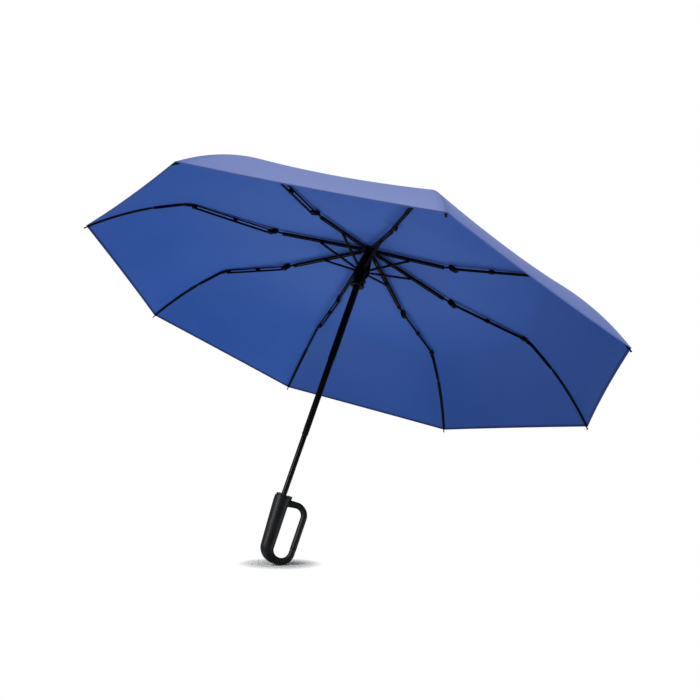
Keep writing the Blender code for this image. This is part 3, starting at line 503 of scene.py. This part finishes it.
# The corners over the knuckle and the elbow are rounded a little, as tight cloth rounds them
def clothSpot(along):
    low, high = canopy["rounded"]
    spots = [clothLine(min(max(along + offset * canopy["rounding"], 0.0), 4.0))
             for offset in (-1, -0.5, 0, 0.5, 1)]
    if along < low or along > high:
        return spots[2]
    middle = sum((s * w for s, w in zip(spots, (1, 2, 3, 2, 1))), Vector((0, 0))) / 9
    return Vector((middle[0], max(middle[1], spots[2][1] - canopy["roundingDip"])))


def canopyGore():
    rows = [0.0]
    for part, count in enumerate(canopy["rows"]):
        rows += [part + step / count for step in range(1, count + 1)]
    hemRow = 4.0 - canopy["hemWidth"] / outerReach
    clear, lead = canopy["hemLead"]
    rows = sorted([r for r in rows if r < hemRow - clear] + [hemRow - lead, hemRow, 4.0])
    spots = [clothSpot(r) for r in rows]
    lengths = [0.0]
    for first, second in zip(spots, spots[1:]):
        lengths.append(lengths[-1] + (second - first).length)
    columns, wedge = canopy["columns"], 2 * pi / plan["ribs"]
    shape = bmesh.new()
    layers = [shape.verts.layers.float.new(name) for name in ("along", "seamGap", "rimGap", "outside")]
    uvLayer = shape.loops.layers.uv.new("cloth")
    skins, uvs = [[], []], {}
    for index, (along, spot) in enumerate(zip(rows, spots)):
        before, after = spots[max(index - 1, 0)], spots[min(index + 1, len(rows) - 1)]
        slope = (after - before).normalized()
        outward = Vector((-slope[1], slope[0]))
        chord = 2 * spot[0] * sin(wedge / 2)
        pastElbow = max(along - 3, 0)
        settle = clamped((along - 1.0) / canopy["sagOnset"]) * (1 - pastElbow ** canopy["sagFade"])
        extra = (canopy["hemThickness"] - canopy["thickness"]) / 2 if along >= hemRow else 0.0
        lines = [[], []]
        for column in range(columns + 1):
            across = column / columns
            bulge = 4 * across * (1 - across)
            sag = canopy["sag"] * chord * bulge * settle
            draw = 1 - canopy["scallop"] / plan["tipRadius"] * bulge * pastElbow ** 2
            x = spot[0] * draw * ((1 - across) + cos(wedge) * across)
            y = spot[0] * draw * sin(wedge) * across
            turn = wedge * across
            normal = Vector((outward[0] * cos(turn), outward[0] * sin(turn), outward[1])).normalized()
            droop = canopy["droop"] * bulge * pastElbow ** 2
            base = Vector((x, y, plan["crownHeight"] + spot[1] - droop)) - normal * sag
            for skin, lift in ((0, -extra), (1, canopy["thickness"] + extra)):
                vert = shape.verts.new(base + normal * lift)
                values = (along, chord * min(across, 1 - across), lengths[-1] - lengths[index], skin)
                for layer, value in zip(layers, values):
                    vert[layer] = value
                lines[skin].append(vert)
                uvs[vert] = ((across - 0.5) * chord, lengths[index])
        skins[0].append(lines[0])
        skins[1].append(lines[1])
    for first in range(len(rows) - 1):
        for column in range(columns):
            a, b = skins[1][first], skins[1][first + 1]
            shape.faces.new((a[column], b[column], b[column + 1], a[column + 1]))
            a, b = skins[0][first], skins[0][first + 1]
            shape.faces.new((a[column], a[column + 1], b[column + 1], b[column]))
    for row, flip in ((0, False), (len(rows) - 1, True)):
        for column in range(columns):
            inner, outer = skins[0][row], skins[1][row]
            loop = (inner[column], outer[column], outer[column + 1], inner[column + 1])
            shape.faces.new(tuple(reversed(loop)) if flip else loop)
    for face in shape.faces:
        face.smooth = True
        for corner in face.loops:
            corner[uvLayer].uv = uvs[corner.vert]
    return meshFrom("gore", shape)


# A Geometry Nodes tree with its inputs by name and kind
def newTree(name, inputs):
    tree = bpy.data.node_groups.new(name, "GeometryNodeTree")
    tree.interface.new_socket("Geometry", in_out="OUTPUT", socket_type="NodeSocketGeometry")
    for label, kind in {"Geometry": "Geometry", **inputs}.items():
        tree.interface.new_socket(label, in_out="INPUT", socket_type="NodeSocket" + kind)
    return tree, tree.nodes.new("NodeGroupInput").outputs, tree.nodes.new("NodeGroupOutput").inputs[0]


def geoNode(tree, kind, inputs=None, **settings):
    return treeNode(tree, "GeometryNode" + kind, inputs, **settings).outputs[0]


def runTree(name, mesh, tree, values):
    item = linked(name + "Source", mesh)
    change = item.modifiers.new("build", "NODES")
    change.node_group = tree
    for socket in tree.interface.items_tree:
        if socket.in_out == "INPUT" and socket.name in values:
            change[socket.identifier] = values[socket.name]
    made = finishedMesh(item)
    made.name = name
    return made


# Turns copies of the input round the Z axis, merges where they meet and gives each skin its material: the
# outside skin gets the copy painted lighter, as if lit from above
def turnedCopiesTree():
    tree, given, result = newTree("turnedCopies", {
        "Copies": "Int", "First Turn": "Float", "Merge Distance": "Float", "Inside Finish": "Material",
        "Painted Lit Outside": "Material"})
    step = mathOn(tree, "DIVIDE", 2 * pi, given["Copies"])
    turn = addNode(tree, "Math", {0: geoNode(tree, "InputIndex"), 1: step, 2: given["First Turn"]},
                   operation="MULTIPLY_ADD")
    spin = addNode(tree, "CombineXYZ", {"Z": turn.outputs[0]})
    copies = geoNode(tree, "InstanceOnPoints", {
        "Points": geoNode(tree, "Points", {"Count": given["Copies"]}),
        "Instance": given["Geometry"], "Rotation": spin.outputs[0]})
    real = geoNode(tree, "RealizeInstances", {"Geometry": copies})
    merged = geoNode(tree, "MergeByDistance", {"Geometry": real, "Distance": given["Merge Distance"]})
    skin = geoNode(tree, "InputNamedAttribute", {"Name": "outside"}, data_type="FLOAT")
    lined = geoNode(tree, "SetMaterial", {"Geometry": merged, "Material": given["Inside Finish"]})
    painted = geoNode(tree, "SetMaterial", {
        "Geometry": lined, "Selection": mathOn(tree, "GREATER_THAN", skin, 0.25),
        "Material": given["Painted Lit Outside"]})
    tree.links.new(painted, result)
    return tree


turnedCopies = turnedCopiesTree()
clothMesh = runTree("canopyCloth", canopyGore(), turnedCopies, {
    "Copies": plan["ribs"], "First Turn": ribTurn(1), "Merge Distance": canopy["mergeWithin"],
    "Inside Finish": clothInside, "Painted Lit Outside": clothOutsidePaintedLit})
canopyCloth = linked("canopyCloth", clothMesh)
print("canopy sewn:", len(clothMesh.polygons), "faces")

# The cloth follows the ribs: every point hangs between two ribs and their three segments
rigData = bpy.data.armatures.new("clothRig")
clothRig = linked("clothRig", rigData)
bpy.context.view_layer.objects.active = clothRig
bpy.ops.object.mode_set(mode="EDIT")
ribParts = ("inner_rib", "mid_rib", "outer_rib")
ridden = ["upper_shaft"] + [f"{part}_{n}" for n in ribNumbers for part in ribParts]
for name in ridden:
    bone = rigData.edit_bones.new(name)
    bone.head, bone.tail = (0, 0, 0), (0, 0.1, 0)
bpy.ops.object.mode_set(mode="OBJECT")
for name in ridden:
    follow = clothRig.pose.bones[name].constraints.new("COPY_TRANSFORMS")
    follow.target = bodies[name]
clothRig.parent = bodies["upper_shaft"]
clothRig.hide_render = True


# Share of the crown, the inner, the middle and the outer rib at a place along the cloth
def segmentShares(along):
    passed = [clamped((along - edge + soft) / (2 * soft)) for edge, soft in canopy["blends"]]
    return [before - after for before, after in zip([1.0] + passed, passed + [0.0])]


# Share of the next rib at a place across a gore: beside the link bars the cloth stays with its own rib
def nextRibShare(along, across, chord):
    (low, high), (easeIn, easeOut) = canopy["besideBar"], canopy["barEase"]
    beside = clamped((along - low) / easeIn) * clamped((high - along) / easeOut)
    flat = canopy["barRoom"] * beside / max(chord, canopy["leastChord"])
    return clamped((across - flat) / (1 - 2 * flat))


def hangOnRibs(item):
    mesh = item.data
    along = [d.value for d in mesh.attributes["along"].data]
    groups = {name: item.vertex_groups.new(name=name) for name in ridden}
    wedge = 2 * pi / plan["ribs"]
    for vertex in mesh.vertices:
        x, y = vertex.co[:2]
        shares = segmentShares(along[vertex.index])
        # A gore is straight from rib to rib, so the place across it follows from both ribs' directions
        turn = (atan2(y, x) - ribTurn(1)) % (2 * pi)
        first = int(turn / wedge) % plan["ribs"]
        part = turn - first * wedge
        across = sin(part) / (sin(part) + sin(wedge - part))
        chord = 2 * hypot(x, y) * cos(part - wedge / 2) * tan(wedge / 2)
        across = nextRibShare(along[vertex.index], across, chord)
        groups["upper_shaft"].add([vertex.index], shares[0], "REPLACE")
        for rib, weight in ((first + 1, 1 - across), ((first + 1) % plan["ribs"] + 1, across)):
            for name, share in zip(ribParts, shares[1:]):
                if share * weight > 0:
                    groups[f"{name}_{rib}"].add([vertex.index], share * weight, "REPLACE")
    hang = item.modifiers.new("hang", "ARMATURE")
    hang.object = clothRig


hangOnRibs(canopyCloth)
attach(canopyCloth, "upper_shaft")
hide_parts("canopy")
print("canopy hung on", len(ridden), "bones")

# Rib fittings: thin middle rails over stout link bars, wide channels, flat rods and slim tips

fitting = {
    "soft": 0.0003, "round": 0.0008, "discSides": 20,
    "linkRadius": 0.0019, "linkSide": 0.0042, "linkEnds": (0.01, 0.156), "linkDrops": (0.005, 0.0051, 0.0049),
    "cheeks": (0.0024, 0.0034), "knuckleEye": 0.004, "knuckleFoot": (0.01, -0.0042, 0.0036),
    "web": ((0.0046, -0.0068, -0.003), (0.015, -0.0024, 0.0056)),
    "clip": ((0.0718, -0.0068, 0.0002), (0.0802, -0.0008, 0.006)),
    "end": ((0.148, -0.0067, 0.0), (0.1576, -0.0008, 0.006)),
    "heads": (0.0105, 0.153), "headRadius": 0.0013, "headRise": 0.0006,
    "rail": (0.0045, 0.1515), "railMiddle": -0.00115, "railSection": (0.0026, 0.0015, 0.0005),
    "railEnd": 0.0009, "ear": (0.011, 0.0024), "earSides": (0.0015, 0.0023),
    "tongue": (0.146, 0.0022, 0.00115), "rivetRadius": 0.0008,
    "inner": (0.005, 0.1523), "innerRise": 0.0503, "innerLow": 0.0003, "innerSection": (0.006, 0.0046, 0.001),
    "wireRadius": 0.0005, "wireEnds": (0.02, 0.142), "wireLow": 0.0013,
    "strut": ((0.0066, -0.0015, -0.0024), (0.0725, 0.0015, 0.0024)),
    "tipBack": 0.0072, "tipSleeve": 0.0018, "tipStep": 0.0004, "tipShoulder": (0.0022, 0.0012),
    "tipNeck": 0.0011, "tipBall": 0.0015, "tipBeyond": 0.005, "ballFrom": 0.22, "ballSteps": 8,
    "rodShares": (0.36, 0.985), "rodSteps": 48, "rodAcross": (0.0032, 0.0022), "rodDeep": 0.00135,
    "rodPinch": 0.0015, "rodSwell": 0.06,
}


def ribMatrix(number, spot, angle):
    upright = Matrix.Rotation(ribTurn(number), 4, "Z") @ Matrix.Rotation(pi / 2, 4, "X")
    height = Matrix.Translation((0, 0, plan["crownHeight"]))
    return height @ upright @ Matrix.Translation((*spot, 0)) @ Matrix.Rotation(angle, 4, "Z")


# A rounded cheek: the hull of discs in the rib's plane, each an X, a Y and a radius
def addCheek(shape, discs, low, high):
    soft, verts = fitting["soft"], []
    for x, y, radius in discs:
        for c, s in circle(fitting["discSides"]):
            for side, reach in ((low, radius - soft), (low + soft, radius), (high - soft, radius),
                                (high, radius - soft)):
                verts.append(shape.verts.new((x + reach * c, y + reach * s, side)))
    hull = bmesh.ops.convex_hull(shape, input=verts)
    loose = [v for v in hull["geom_interior"] + hull["geom_unused"] if isinstance(v, bmesh.types.BMVert)]
    bmesh.ops.delete(shape, geom=list(set(loose)), context="VERTS")


def addBlock(shape, low, high):
    part = bmesh.new()
    addBox(part, low, high)
    bmesh.ops.bevel(part, geom=part.edges[:], offset=fitting["round"], segments=3, affect="EDGES",
                    profile=0.5)
    mesh = meshFrom("block", part)
    shape.from_mesh(mesh)
    bpy.data.meshes.remove(mesh)


# A pressed channel from one point of the rib's plane to another, open at its underside
def addRail(shape, start, end, width, height, wall):
    start, end = Vector(start), Vector(end)
    ahead = (end - start).normalized()
    half, low, high, corner = width / 2, -height / 2, height / 2, fitting["soft"]
    outline = [(-half, low), (-half, high - corner), (corner - half, high), (half - corner, high),
               (half, high - corner), (half, low), (half - wall, low), (half - wall, high - wall),
               (wall - half, high - wall), (wall - half, low)]
    addPrism(shape, *([shape.verts.new((spot[0] - ahead[1] * rise, spot[1] + ahead[0] * rise, side))
                       for side, rise in outline] for spot in (start, end)))


# A bar of round section along the points that come in, closed at its ends
def roundBarTree():
    tree, given, result = newTree("roundBar", {"Radius": "Float", "Sides": "Int", "Steps": "Int"})
    line = geoNode(tree, "MeshToCurve", {"Mesh": given["Geometry"]})
    kind = geoNode(tree, "CurveSplineType", {"Curve": line}, spline_type="CATMULL_ROM")
    fine = geoNode(tree, "ResampleCurve", {"Curve": kind, "Count": given["Steps"]})
    ring = geoNode(tree, "CurvePrimitiveCircle", {"Resolution": given["Sides"], "Radius": given["Radius"]})
    swept = geoNode(tree, "CurveToMesh", {"Curve": fine, "Profile Curve": ring, "Fill Caps": True})
    tree.links.new(swept, result)
    return tree


# A turned piece stands on every point that comes in, its axis along Z
def studsTree():
    tree, given, result = newTree("studs", {"Radius": "Float", "Height": "Float", "Sides": "Int"})
    ball = geoNode(tree, "MeshUVSphere", {"Segments": given["Sides"], "Rings": 8, "Radius": given["Radius"]})
    share = mathOn(tree, "DIVIDE", given["Height"], given["Radius"])
    flat = addNode(tree, "CombineXYZ", {"X": 1.0, "Y": 1.0, "Z": share})
    studs = geoNode(tree, "InstanceOnPoints", {
        "Points": given["Geometry"], "Instance": ball, "Scale": flat.outputs[0]})
    tree.links.new(geoNode(tree, "RealizeInstances", {"Geometry": studs}), result)
    return tree


roundBar, studs = roundBarTree(), studsTree()


def pointLine(name, points, joined=True):
    mesh = bpy.data.meshes.new(name)
    edges = [(i, i + 1) for i in range(len(points) - 1)] if joined else []
    mesh.from_pydata([tuple(p) for p in points], edges, [])
    return mesh


def bothSides(low, high):
    return (low, high), (-high, -low)


def linkBarMesh():
    size = fitting
    (start, end), drops, side = size["linkEnds"], size["linkDrops"], size["linkSide"]
    route = [(start, -drops[0], side), ((start + end) / 2, -drops[1], side), (end, -drops[2], side)]
    bar = runTree("linkBar", pointLine("linkRoute", route), roundBar, {
        "Radius": size["linkRadius"], "Sides": 16, "Steps": 36})
    cheek = size["cheeks"][1]
    heads = [(0, 0, cheek), (0, 0, -cheek), (size["heads"][0], -drops[0], size["web"][1][2]),
             (size["heads"][1], -drops[2], size["end"][1][2])]
    domes = runTree("domes", pointLine("headPlaces", heads, False), studs, {
        "Radius": size["headRadius"], "Height": size["headRise"], "Sides": 14})

    def build(shape):
        shape.from_mesh(bar)
        shape.from_mesh(domes)
        for low, high in bothSides(*size["cheeks"]):
            addCheek(shape, ((0, 0, size["knuckleEye"]), size["knuckleFoot"]), low, high)
        for part in ("web", "clip", "end"):
            addBlock(shape, *size[part])
    return meshOf("linkBar", build)


# The middle rib: a thin pressed rail, two ears at the knuckle, a tongue at the elbow and a rivet
def midRailMesh():
    size = fitting
    middle = size["railMiddle"]
    earLength, earRadius = size["ear"]
    tongueFrom, tongueRadius, tongueHalf = size["tongue"]

    def build(shape):
        addRail(shape, *((x, middle) for x in size["rail"]), *size["railSection"])
        for low, high in bothSides(*size["earSides"]):
            addCheek(shape, ((0, 0, earRadius), (earLength, middle, size["railEnd"])), low, high)
        tongue = (tongueFrom, middle, size["railEnd"]), (plan["midReach"], -plan["elbowDrop"], tongueRadius)
        addCheek(shape, tongue, -tongueHalf, tongueHalf)
        addCylinder(shape, size["rivetRadius"], 2 * size["cheeks"][1], 16, Matrix())
    return meshOf("midRail", build)


# A wider pressed channel over the inner rib's own, with a lighter steel wire lying in it as a painted
# highlight of the channel's lit inside
def innerChannelMesh():
    size = fitting
    ends = [(x, x * size["innerRise"] - size["innerLow"]) for x in size["inner"]]
    return meshOf("innerChannel", lambda s: addRail(s, *ends, *size["innerSection"]))


# The wire's lighter steel is a painted highlight along the channel's lit inside
def highlightWireMesh():
    size = fitting
    route = [(x, x * size["innerRise"] - size["wireLow"], 0) for x in size["wireEnds"]]
    return runTree("springWire", pointLine("wireRoute", route), roundBar, {
        "Radius": size["wireRadius"], "Sides": 10, "Steps": 12})


def ribTipMesh():
    size = fitting
    beyond, ball, neck, sleeve, step = (size[k] for k in (
        "tipBeyond", "tipBall", "tipNeck", "tipSleeve", "tipStep"))
    (shoulder, waist), back = size["tipShoulder"], size["tipBack"]
    first, steps = size["ballFrom"], size["ballSteps"]
    profile = [(-back, 0.0), (-back, sleeve - size["soft"]), (-back + step, sleeve), (-shoulder, sleeve),
               (-waist, neck), (beyond - 2 * ball - step, neck)]
    for turn in (pi * (first + (1 - first) * index / steps) for index in range(steps + 1)):
        profile.append((beyond - ball - ball * cos(turn), ball * sin(turn)))

    def build(shape):
        rings = []
        for along, radius in profile:
            spots = [(along, radius * c, radius * s) for c, s in circle(size["discSides"])]
            rings.append([shape.verts.new(spot) for spot in (spots if radius > 0.00001 else [(along, 0, 0)])])
        skinRings(shape, rings, capped=False)
        for face in shape.faces:
            face.smooth = True
    return meshOf("ribTip", build)


# The glass-fibre end of an outer rib: a flat oval bar, pinched where it leaves the channel
def fibreRodMesh():
    size = fitting
    (first, last), (wide, narrow), pinch = size["rodShares"], size["rodAcross"], size["rodPinch"]
    deep, near = size["rodDeep"], 0.001

    def build(shape):
        rings = []
        for step in range(size["rodSteps"] + 1):
            share = step / size["rodSteps"]
            place = first + (last - first) * share
            slope = (outerCentre(place + near) - outerCentre(place - near)) / (2 * near * outerReach)
            swell = eased(min(share / size["rodSwell"], 1.0))
            across = pinch + (wide * (1 - share) + narrow * share - pinch) * swell
            middle = Vector((place * outerReach, outerCentre(place), 0))
            up = Vector((-slope, 1, 0)).normalized()
            rings.append([shape.verts.new(middle + up * (deep * s) + Vector((0, 0, across * c)))
                          for c, s in circle(size["discSides"])])
        skinRings(shape, rings)
        for face in shape.faces:
            face.smooth = len(face.verts) == 4
    return meshOf("fibreRod", build)


tipTurn = outerAngle + atan2(-plan["heel"] - 4 * plan["bow"], outerReach)
strut = meshOf("strut", lambda s: addBlock(s, *fitting["strut"]))
pieces = [
    ("linkBar", linkBarMesh(), "mid_rib", "link_rod", "rib_metal", knuckle, -midSlope),
    ("midRail", midRailMesh(), "mid_rib", "mid_rib", "rib_metal", knuckle, -midSlope),
    ("innerChannel", innerChannelMesh(), "inner_rib", None, "rib_metal", crownHinge, -openAngle),
    ("springWire", highlightWireMesh(), "inner_rib", None, "spring_steel", crownHinge, -openAngle),
    ("strut", strut, "stretcher", None, "rib_metal", stretcherPivot, openAngle - pi),
    ("fibreRod", fibreRodMesh(), "outer_rib", None, "rib_fibre", elbow, outerAngle),
    ("ribTip", ribTipMesh(), "outer_rib", "rib_tip", "frame_plastic", tip, tipTurn),
]
for number in ribNumbers:
    for name, shape, body, node, finish, spot, angle in pieces:
        mesh = shape.copy()
        mesh.transform(ribMatrix(number, spot, angle))
        addPiece(f"{name}_{number}", mesh, finish, f"{body}_{number}", node and f"{node}_{number}")
print("rib fittings placed:", len(pieces) * plan["ribs"])

# Runner: a lower collar to pull on, and bright rivet ends round the middle one

slider = {
    "drop": 0.04141, "sides": 64, "rivets": 4, "rivetTurn": 10.25, "rivetOut": 0.013, "rivetDrop": 0.0276,
    "rivetRadius": 0.0011, "finHalf": 0.0017,
    "fin": ((0.006, 0.028), (0.0092, 0.028), (0.0108, 0.02), (0.0122, 0.01), (0.0138, 0.004),
            (0.0142, 0.001), (0.0142, -0.007), (0.012, -0.0125), (0.0088, -0.014), (0.006, -0.014)),
    "skirt": ((0.0065, -0.0212), (0.0094, -0.0212), (0.009, -0.0235), (0.0092, -0.0262), (0.0118, -0.0272),
              (0.013, -0.0284), (0.0132, -0.0302), (0.0128, -0.0318), (0.0116, -0.0326), (0.0065, -0.0326)),
}


# A body turned round the shaft's axis from a closed outline of radius and height
def turnedMesh(name, outline, sides):
    def build(shape):
        rings = [[shape.verts.new((radius * c, radius * s, height)) for c, s in circle(sides)]
                 for radius, height in outline]
        skinRings(shape, rings + rings[:1], capped=False)
    return meshOf(name, build)


# Eight upright fins between the struts, widening downwards
def finsMesh():
    def build(shape):
        for number in ribNumbers:
            turn = Matrix.Rotation(ribTurn(number) + pi / plan["ribs"], 4, "Z")
            addPrism(shape, *([shape.verts.new(turn @ Vector((out, side, height)))
                               for out, height in slider["fin"]]
                              for side in (-slider["finHalf"], slider["finHalf"])))
    return meshOf("fins", build)


toRing = Matrix.Translation((0, 0, plan["crownHeight"] - slider["drop"]))
rivetTurn = Matrix.Rotation(radians(slider["rivetTurn"]), 3, "Z")
rivetSpots = [rivetTurn @ Vector((slider["rivetOut"] * c, slider["rivetOut"] * s, -slider["rivetDrop"]))
              for c, s in circle(slider["rivets"])]
rivetEnds = runTree("rivetEnds", pointLine("rivetPlaces", rivetSpots, False), studs, {
    "Radius": slider["rivetRadius"], "Height": slider["rivetRadius"], "Sides": 12})
skirt = turnedMesh("skirt", slider["skirt"], slider["sides"])
for name, mesh, finish in (
        ("sliderSkirt", skirt, "frame_plastic"), ("sliderFins", finsMesh(), "frame_plastic"),
        ("rivetEnds", rivetEnds, "pin_steel")):
    mesh.transform(toRing)
    addPiece(name, mesh, finish, "runner")
print("runner dressed:", len(rivetSpots), "rivet ends")

# Shaft: three nested tubes with rounded ends and a pressed groove above each lower end

shaft = {
    "sides": 48, "wall": 0.0006, "edge": 0.0002,
    "grooveUp": 0.006, "grooveHalf": 0.0008, "grooveDeep": 0.0003,
    "tubes": (("upper", "upper_shaft", 0.0063, 0.312, 0.5345),
              ("middle", "middle_shaft", 0.0055, 0.168, 0.33),
              ("lower", "handle", 0.0047, 0.0183, 0.186)),
}


def tubeOutline(radius, low, high):
    bore, edge, groove = radius - shaft["wall"], shaft["edge"], low + shaft["grooveUp"]
    waist, half = radius - shaft["grooveDeep"], shaft["grooveHalf"]
    return [(bore, low + edge), (bore + edge, low), (radius - edge, low), (radius, low + edge),
            (radius, groove - half), (waist, groove - half / 2), (waist, groove + half / 2),
            (radius, groove + half),
            (radius, high - edge), (radius - edge, high), (bore + edge, high), (bore, high - edge)]


for name, body, radius, low, high in shaft["tubes"]:
    mesh = turnedMesh(f"{name}Tube", tubeOutline(radius, low, high), shaft["sides"])
    addPiece(f"{name}Tube", mesh, "tube_metal", body, f"{name}_tube")
print("shaft turned:", len(shaft["tubes"]), "tubes")

# Handle: grip, lower bend and shoulder are one moulding

handle = {
    "top": 0.057, "collar": 0.004, "topRadius": 0.0137, "topOffset": -0.0006, "straight": 0.089,
    "endRadius": 0.0117, "loopRadius": 0.0055, "bendRadius": 0.0129, "bendX": 0.027, "bendLow": 0.0064,
    "shoulderRadius": 0.0175, "shoulderDrop": 0.0092, "rootDrop": 0.0118, "rootX": 0.004, "rootFlare": 0.0082,
    "flareCurve": 1.6, "gateTop": 0.026, "gatePivot": 0.085, "gateGap": 0.0004, "gateEdge": 0.0004,
    "forkSlot": 0.0052, "forkRadius": 0.0053, "forkDepth": 0.0058, "stubLength": 0.01, "stubRise": 0.003,
    "tongue": 0.0044, "tongueRadius": 0.004, "armRise": 0.003, "pinBore": 0.00135, "seamGap": 0.0006,
    "socketRadius": 0.0042, "socketDepth": 0.035, "buttonWidth": 0.0078, "buttonLow": 0.0046,
    "buttonFrom": 0.0074, "buttonTo": (0.02, 0.006), "buttonGap": 0.0004, "through": 0.02, "cut": 0.004,
    "grain": 0.00052, "passes": 7,
}
barX = handle["bendX"] + handle["bendRadius"] + handle["loopRadius"]


def gripRoute(steps=12, bendSteps=40):
    size = handle
    start, straight, root, loop = size["topOffset"], size["straight"], size["rootDrop"], size["loopRadius"]
    topRadius, endRadius, bendLow = size["topRadius"], size["endRadius"], size["bendLow"]
    endX = size["bendX"] - size["bendRadius"] - endRadius
    route, radii = [(start, -size["collar"])], [topRadius]
    for share in (step / steps for step in range(steps)):
        route.append((start + (endX - start) * share, -root - (straight - root) * share))
        radii.append(topRadius + (endRadius - topRadius) * share)
    for share in (2 - 2 * step / bendSteps for step in range(bendSteps + 1)):
        if share < 1:
            radii.append(loop + (bendLow - loop) * share ** 2)
        else:
            radii.append(bendLow + (endRadius - bendLow) * eased(share - 1))
        angle, reach = pi / 2 * share, size["bendRadius"] + radii[-1]
        route.append((size["bendX"] + reach * cos(angle), -straight - reach * sin(angle)))
    route[-1] = (barX, -straight)
    return route + [(barX, -size["gatePivot"])], radii + [loop]


def shoulderRoute(steps=9, bendSteps=32):
    size = handle
    bend, root, loop = size["shoulderRadius"], size["rootDrop"], size["loopRadius"]
    centreX, centreZ = barX - bend, -size["shoulderDrop"] - bend
    route, radii = [], []
    for share in (step / steps for step in range(steps)):
        route.append((size["rootX"] + (centreX - size["rootX"]) * share,
                      -root + (centreZ + bend + root) * share))
        radii.append(loop + (size["rootFlare"] - loop) * (1 - share) ** size["flareCurve"])
    for angle in (pi / 2 * (1 - step / bendSteps) for step in range(bendSteps + 1)):
        route.append((centreX + bend * cos(angle), centreZ + bend * sin(angle)))
        radii.append(loop)
    return route + [(barX, -size["gateTop"])], radii + [loop]


def across(x, z):
    return Matrix.Translation((x, 0, z)) @ Matrix.Rotation(pi / 2, 4, "X")


def pivotDisc(radius, width):
    return meshOf("disc", lambda s: addCylinder(s, radius, width, 48, across(barX, -handle["gatePivot"])))


def plainBox(low, high):
    return meshOf("box", lambda s: addBox(s, low, high))


def gripMesh():
    size = handle
    pivotZ, cut, loop, deep = -size["gatePivot"], size["cut"], size["loopRadius"], size["socketDepth"]
    mesh = meshOf("grip", lambda s: sweepBar(s, *gripRoute(), 48))
    mesh = withTool(mesh, meshOf("shoulder", lambda s: sweepBar(s, *shoulderRoute(), 36)), "UNION")
    toStub = Matrix.Translation((barX, 0, pivotZ + size["stubRise"]))
    stub = meshOf("stub", lambda s: addCylinder(s, loop, size["stubLength"], 48, toStub))
    stub = withTool(stub, pivotDisc(size["forkRadius"], size["through"]), "INTERSECT")
    mesh = moulded(withTool(mesh, stub, "UNION"), size["grain"], size["passes"])
    far, side = loop + cut, size["forkSlot"] / 2
    toSocket = Matrix.Translation((0, 0, -size["collar"] - deep / 2 + cut))
    half = size["buttonWidth"] / 2 + size["buttonGap"]
    (reach, rise), low = size["buttonTo"], size["buttonLow"] + size["buttonGap"]
    for tool in (
            plainBox((barX - far, -side, pivotZ - size["forkDepth"]), (barX + far, side, pivotZ + far)),
            meshOf("socket", lambda s: addCylinder(s, size["socketRadius"], deep, 32, toSocket)),
            plainBox((size["buttonFrom"], -half, -low), (reach, half, rise))):
        mesh = withTool(mesh, tool, "DIFFERENCE")
    mesh.transform(Matrix.Translation((0, 0, size["top"])))
    return mesh


# The gate is as thick as the loop, hollowed round the fork and with a tongue on the pin
def gateMesh():
    size = handle
    pivotZ, loop, edge, through = -size["gatePivot"], size["loopRadius"], size["gateEdge"], size["through"]
    top, reach, half = -size["gateTop"] - size["gateGap"], size["tongueRadius"], size["tongue"] / 2
    route = [(barX, pivotZ), (barX, top - edge), (barX, top)]
    bar = meshOf("gate", lambda s: sweepBar(s, route, [loop, loop, loop - edge], 48))
    bar = withTool(bar, pivotDisc(size["forkRadius"] + size["seamGap"], through), "DIFFERENCE")
    armTop = pivotZ + size["forkRadius"] + size["armRise"]
    arm = plainBox((barX - reach, -half, pivotZ), (barX + reach, half, armTop))
    tongue = withTool(pivotDisc(reach, size["tongue"]), arm, "UNION")
    bar = withTool(bar, tongue, "UNION")
    bar = withTool(bar, pivotDisc(size["pinBore"], through), "DIFFERENCE")
    bar.transform(Matrix.Translation((0, 0, size["top"])))
    bar.shade_smooth()
    bar.set_sharp_from_angle(angle=radians(35))
    return bar


grip = addPiece("grip", gripMesh(), "handle_plastic", "handle", "handle_body")
addPiece("gateBar", gateMesh(), "handle_plastic", "gate", "gate")
print("grip moulded:", len(grip.data.polygons), "faces")

# Stage: a dark grey disc square to the photograph's upright, just touching the handle's foot and fading to
# clear at its edge: a painted contact shadow

stage = {
    "tilt": -3.0, "radius": 0.076, "back": 0.022, "sink": 0.0002, "tone": (0.245, 0.248, 0.238),
    "speckleTone": (0.225, 0.225, 0.218), "speckleScale": 400.0, "speckleRange": 0.12, "roughness": 0.7,
    "fadeAt": 0.95, "fadeCurve": 2.4,
}


def paintedShadowStage():
    size = stage
    upright = viewUp * cos(radians(size["tilt"])) + viewBack * sin(radians(size["tilt"]))
    foot = min((v.co for v in grip.data.vertices), key=lambda co: co.dot(upright))
    away = viewUp.cross(viewRight).normalized()
    centre = Vector(foot) - upright * size["sink"] + (away - upright * away.dot(upright)) * size["back"]
    place = Matrix.Translation(centre) @ upright.to_track_quat("Z", "Y").to_matrix().to_4x4()
    mesh = meshOf("paintedShadowDisc", lambda s: bmesh.ops.create_circle(
        s, cap_ends=True, segments=96, radius=size["radius"], matrix=place))
    # The disc's grey tone is a painted contact shadow, fading out away from the foot
    material, tree, shader = startMaterial("paintedShadowFloor", size["tone"], size["roughness"])
    coords = addNode(tree, "TexCoord").outputs["Object"]
    apart = addNode(tree, "VectorMath", {0: coords, 1: centre}, operation="DISTANCE").outputs["Value"]
    speckle = ranged(tree, noiseOn(tree, coords, size["speckleScale"], 2.0), 0.0, size["speckleRange"])
    tree.links.new(mixedColour(tree, speckle, size["tone"], size["speckleTone"]), shader.inputs["Base Color"])
    fade = mathOn(tree, "POWER", ranged(tree, apart, 0.0, 1.0, 0.0, size["radius"] * size["fadeAt"]),
                  size["fadeCurve"])
    showMixed(tree, fade, shader, addNode(tree, "BsdfTransparent"))
    return linked("paintedShadowDisc", mesh, material)


paintedShadowStage()
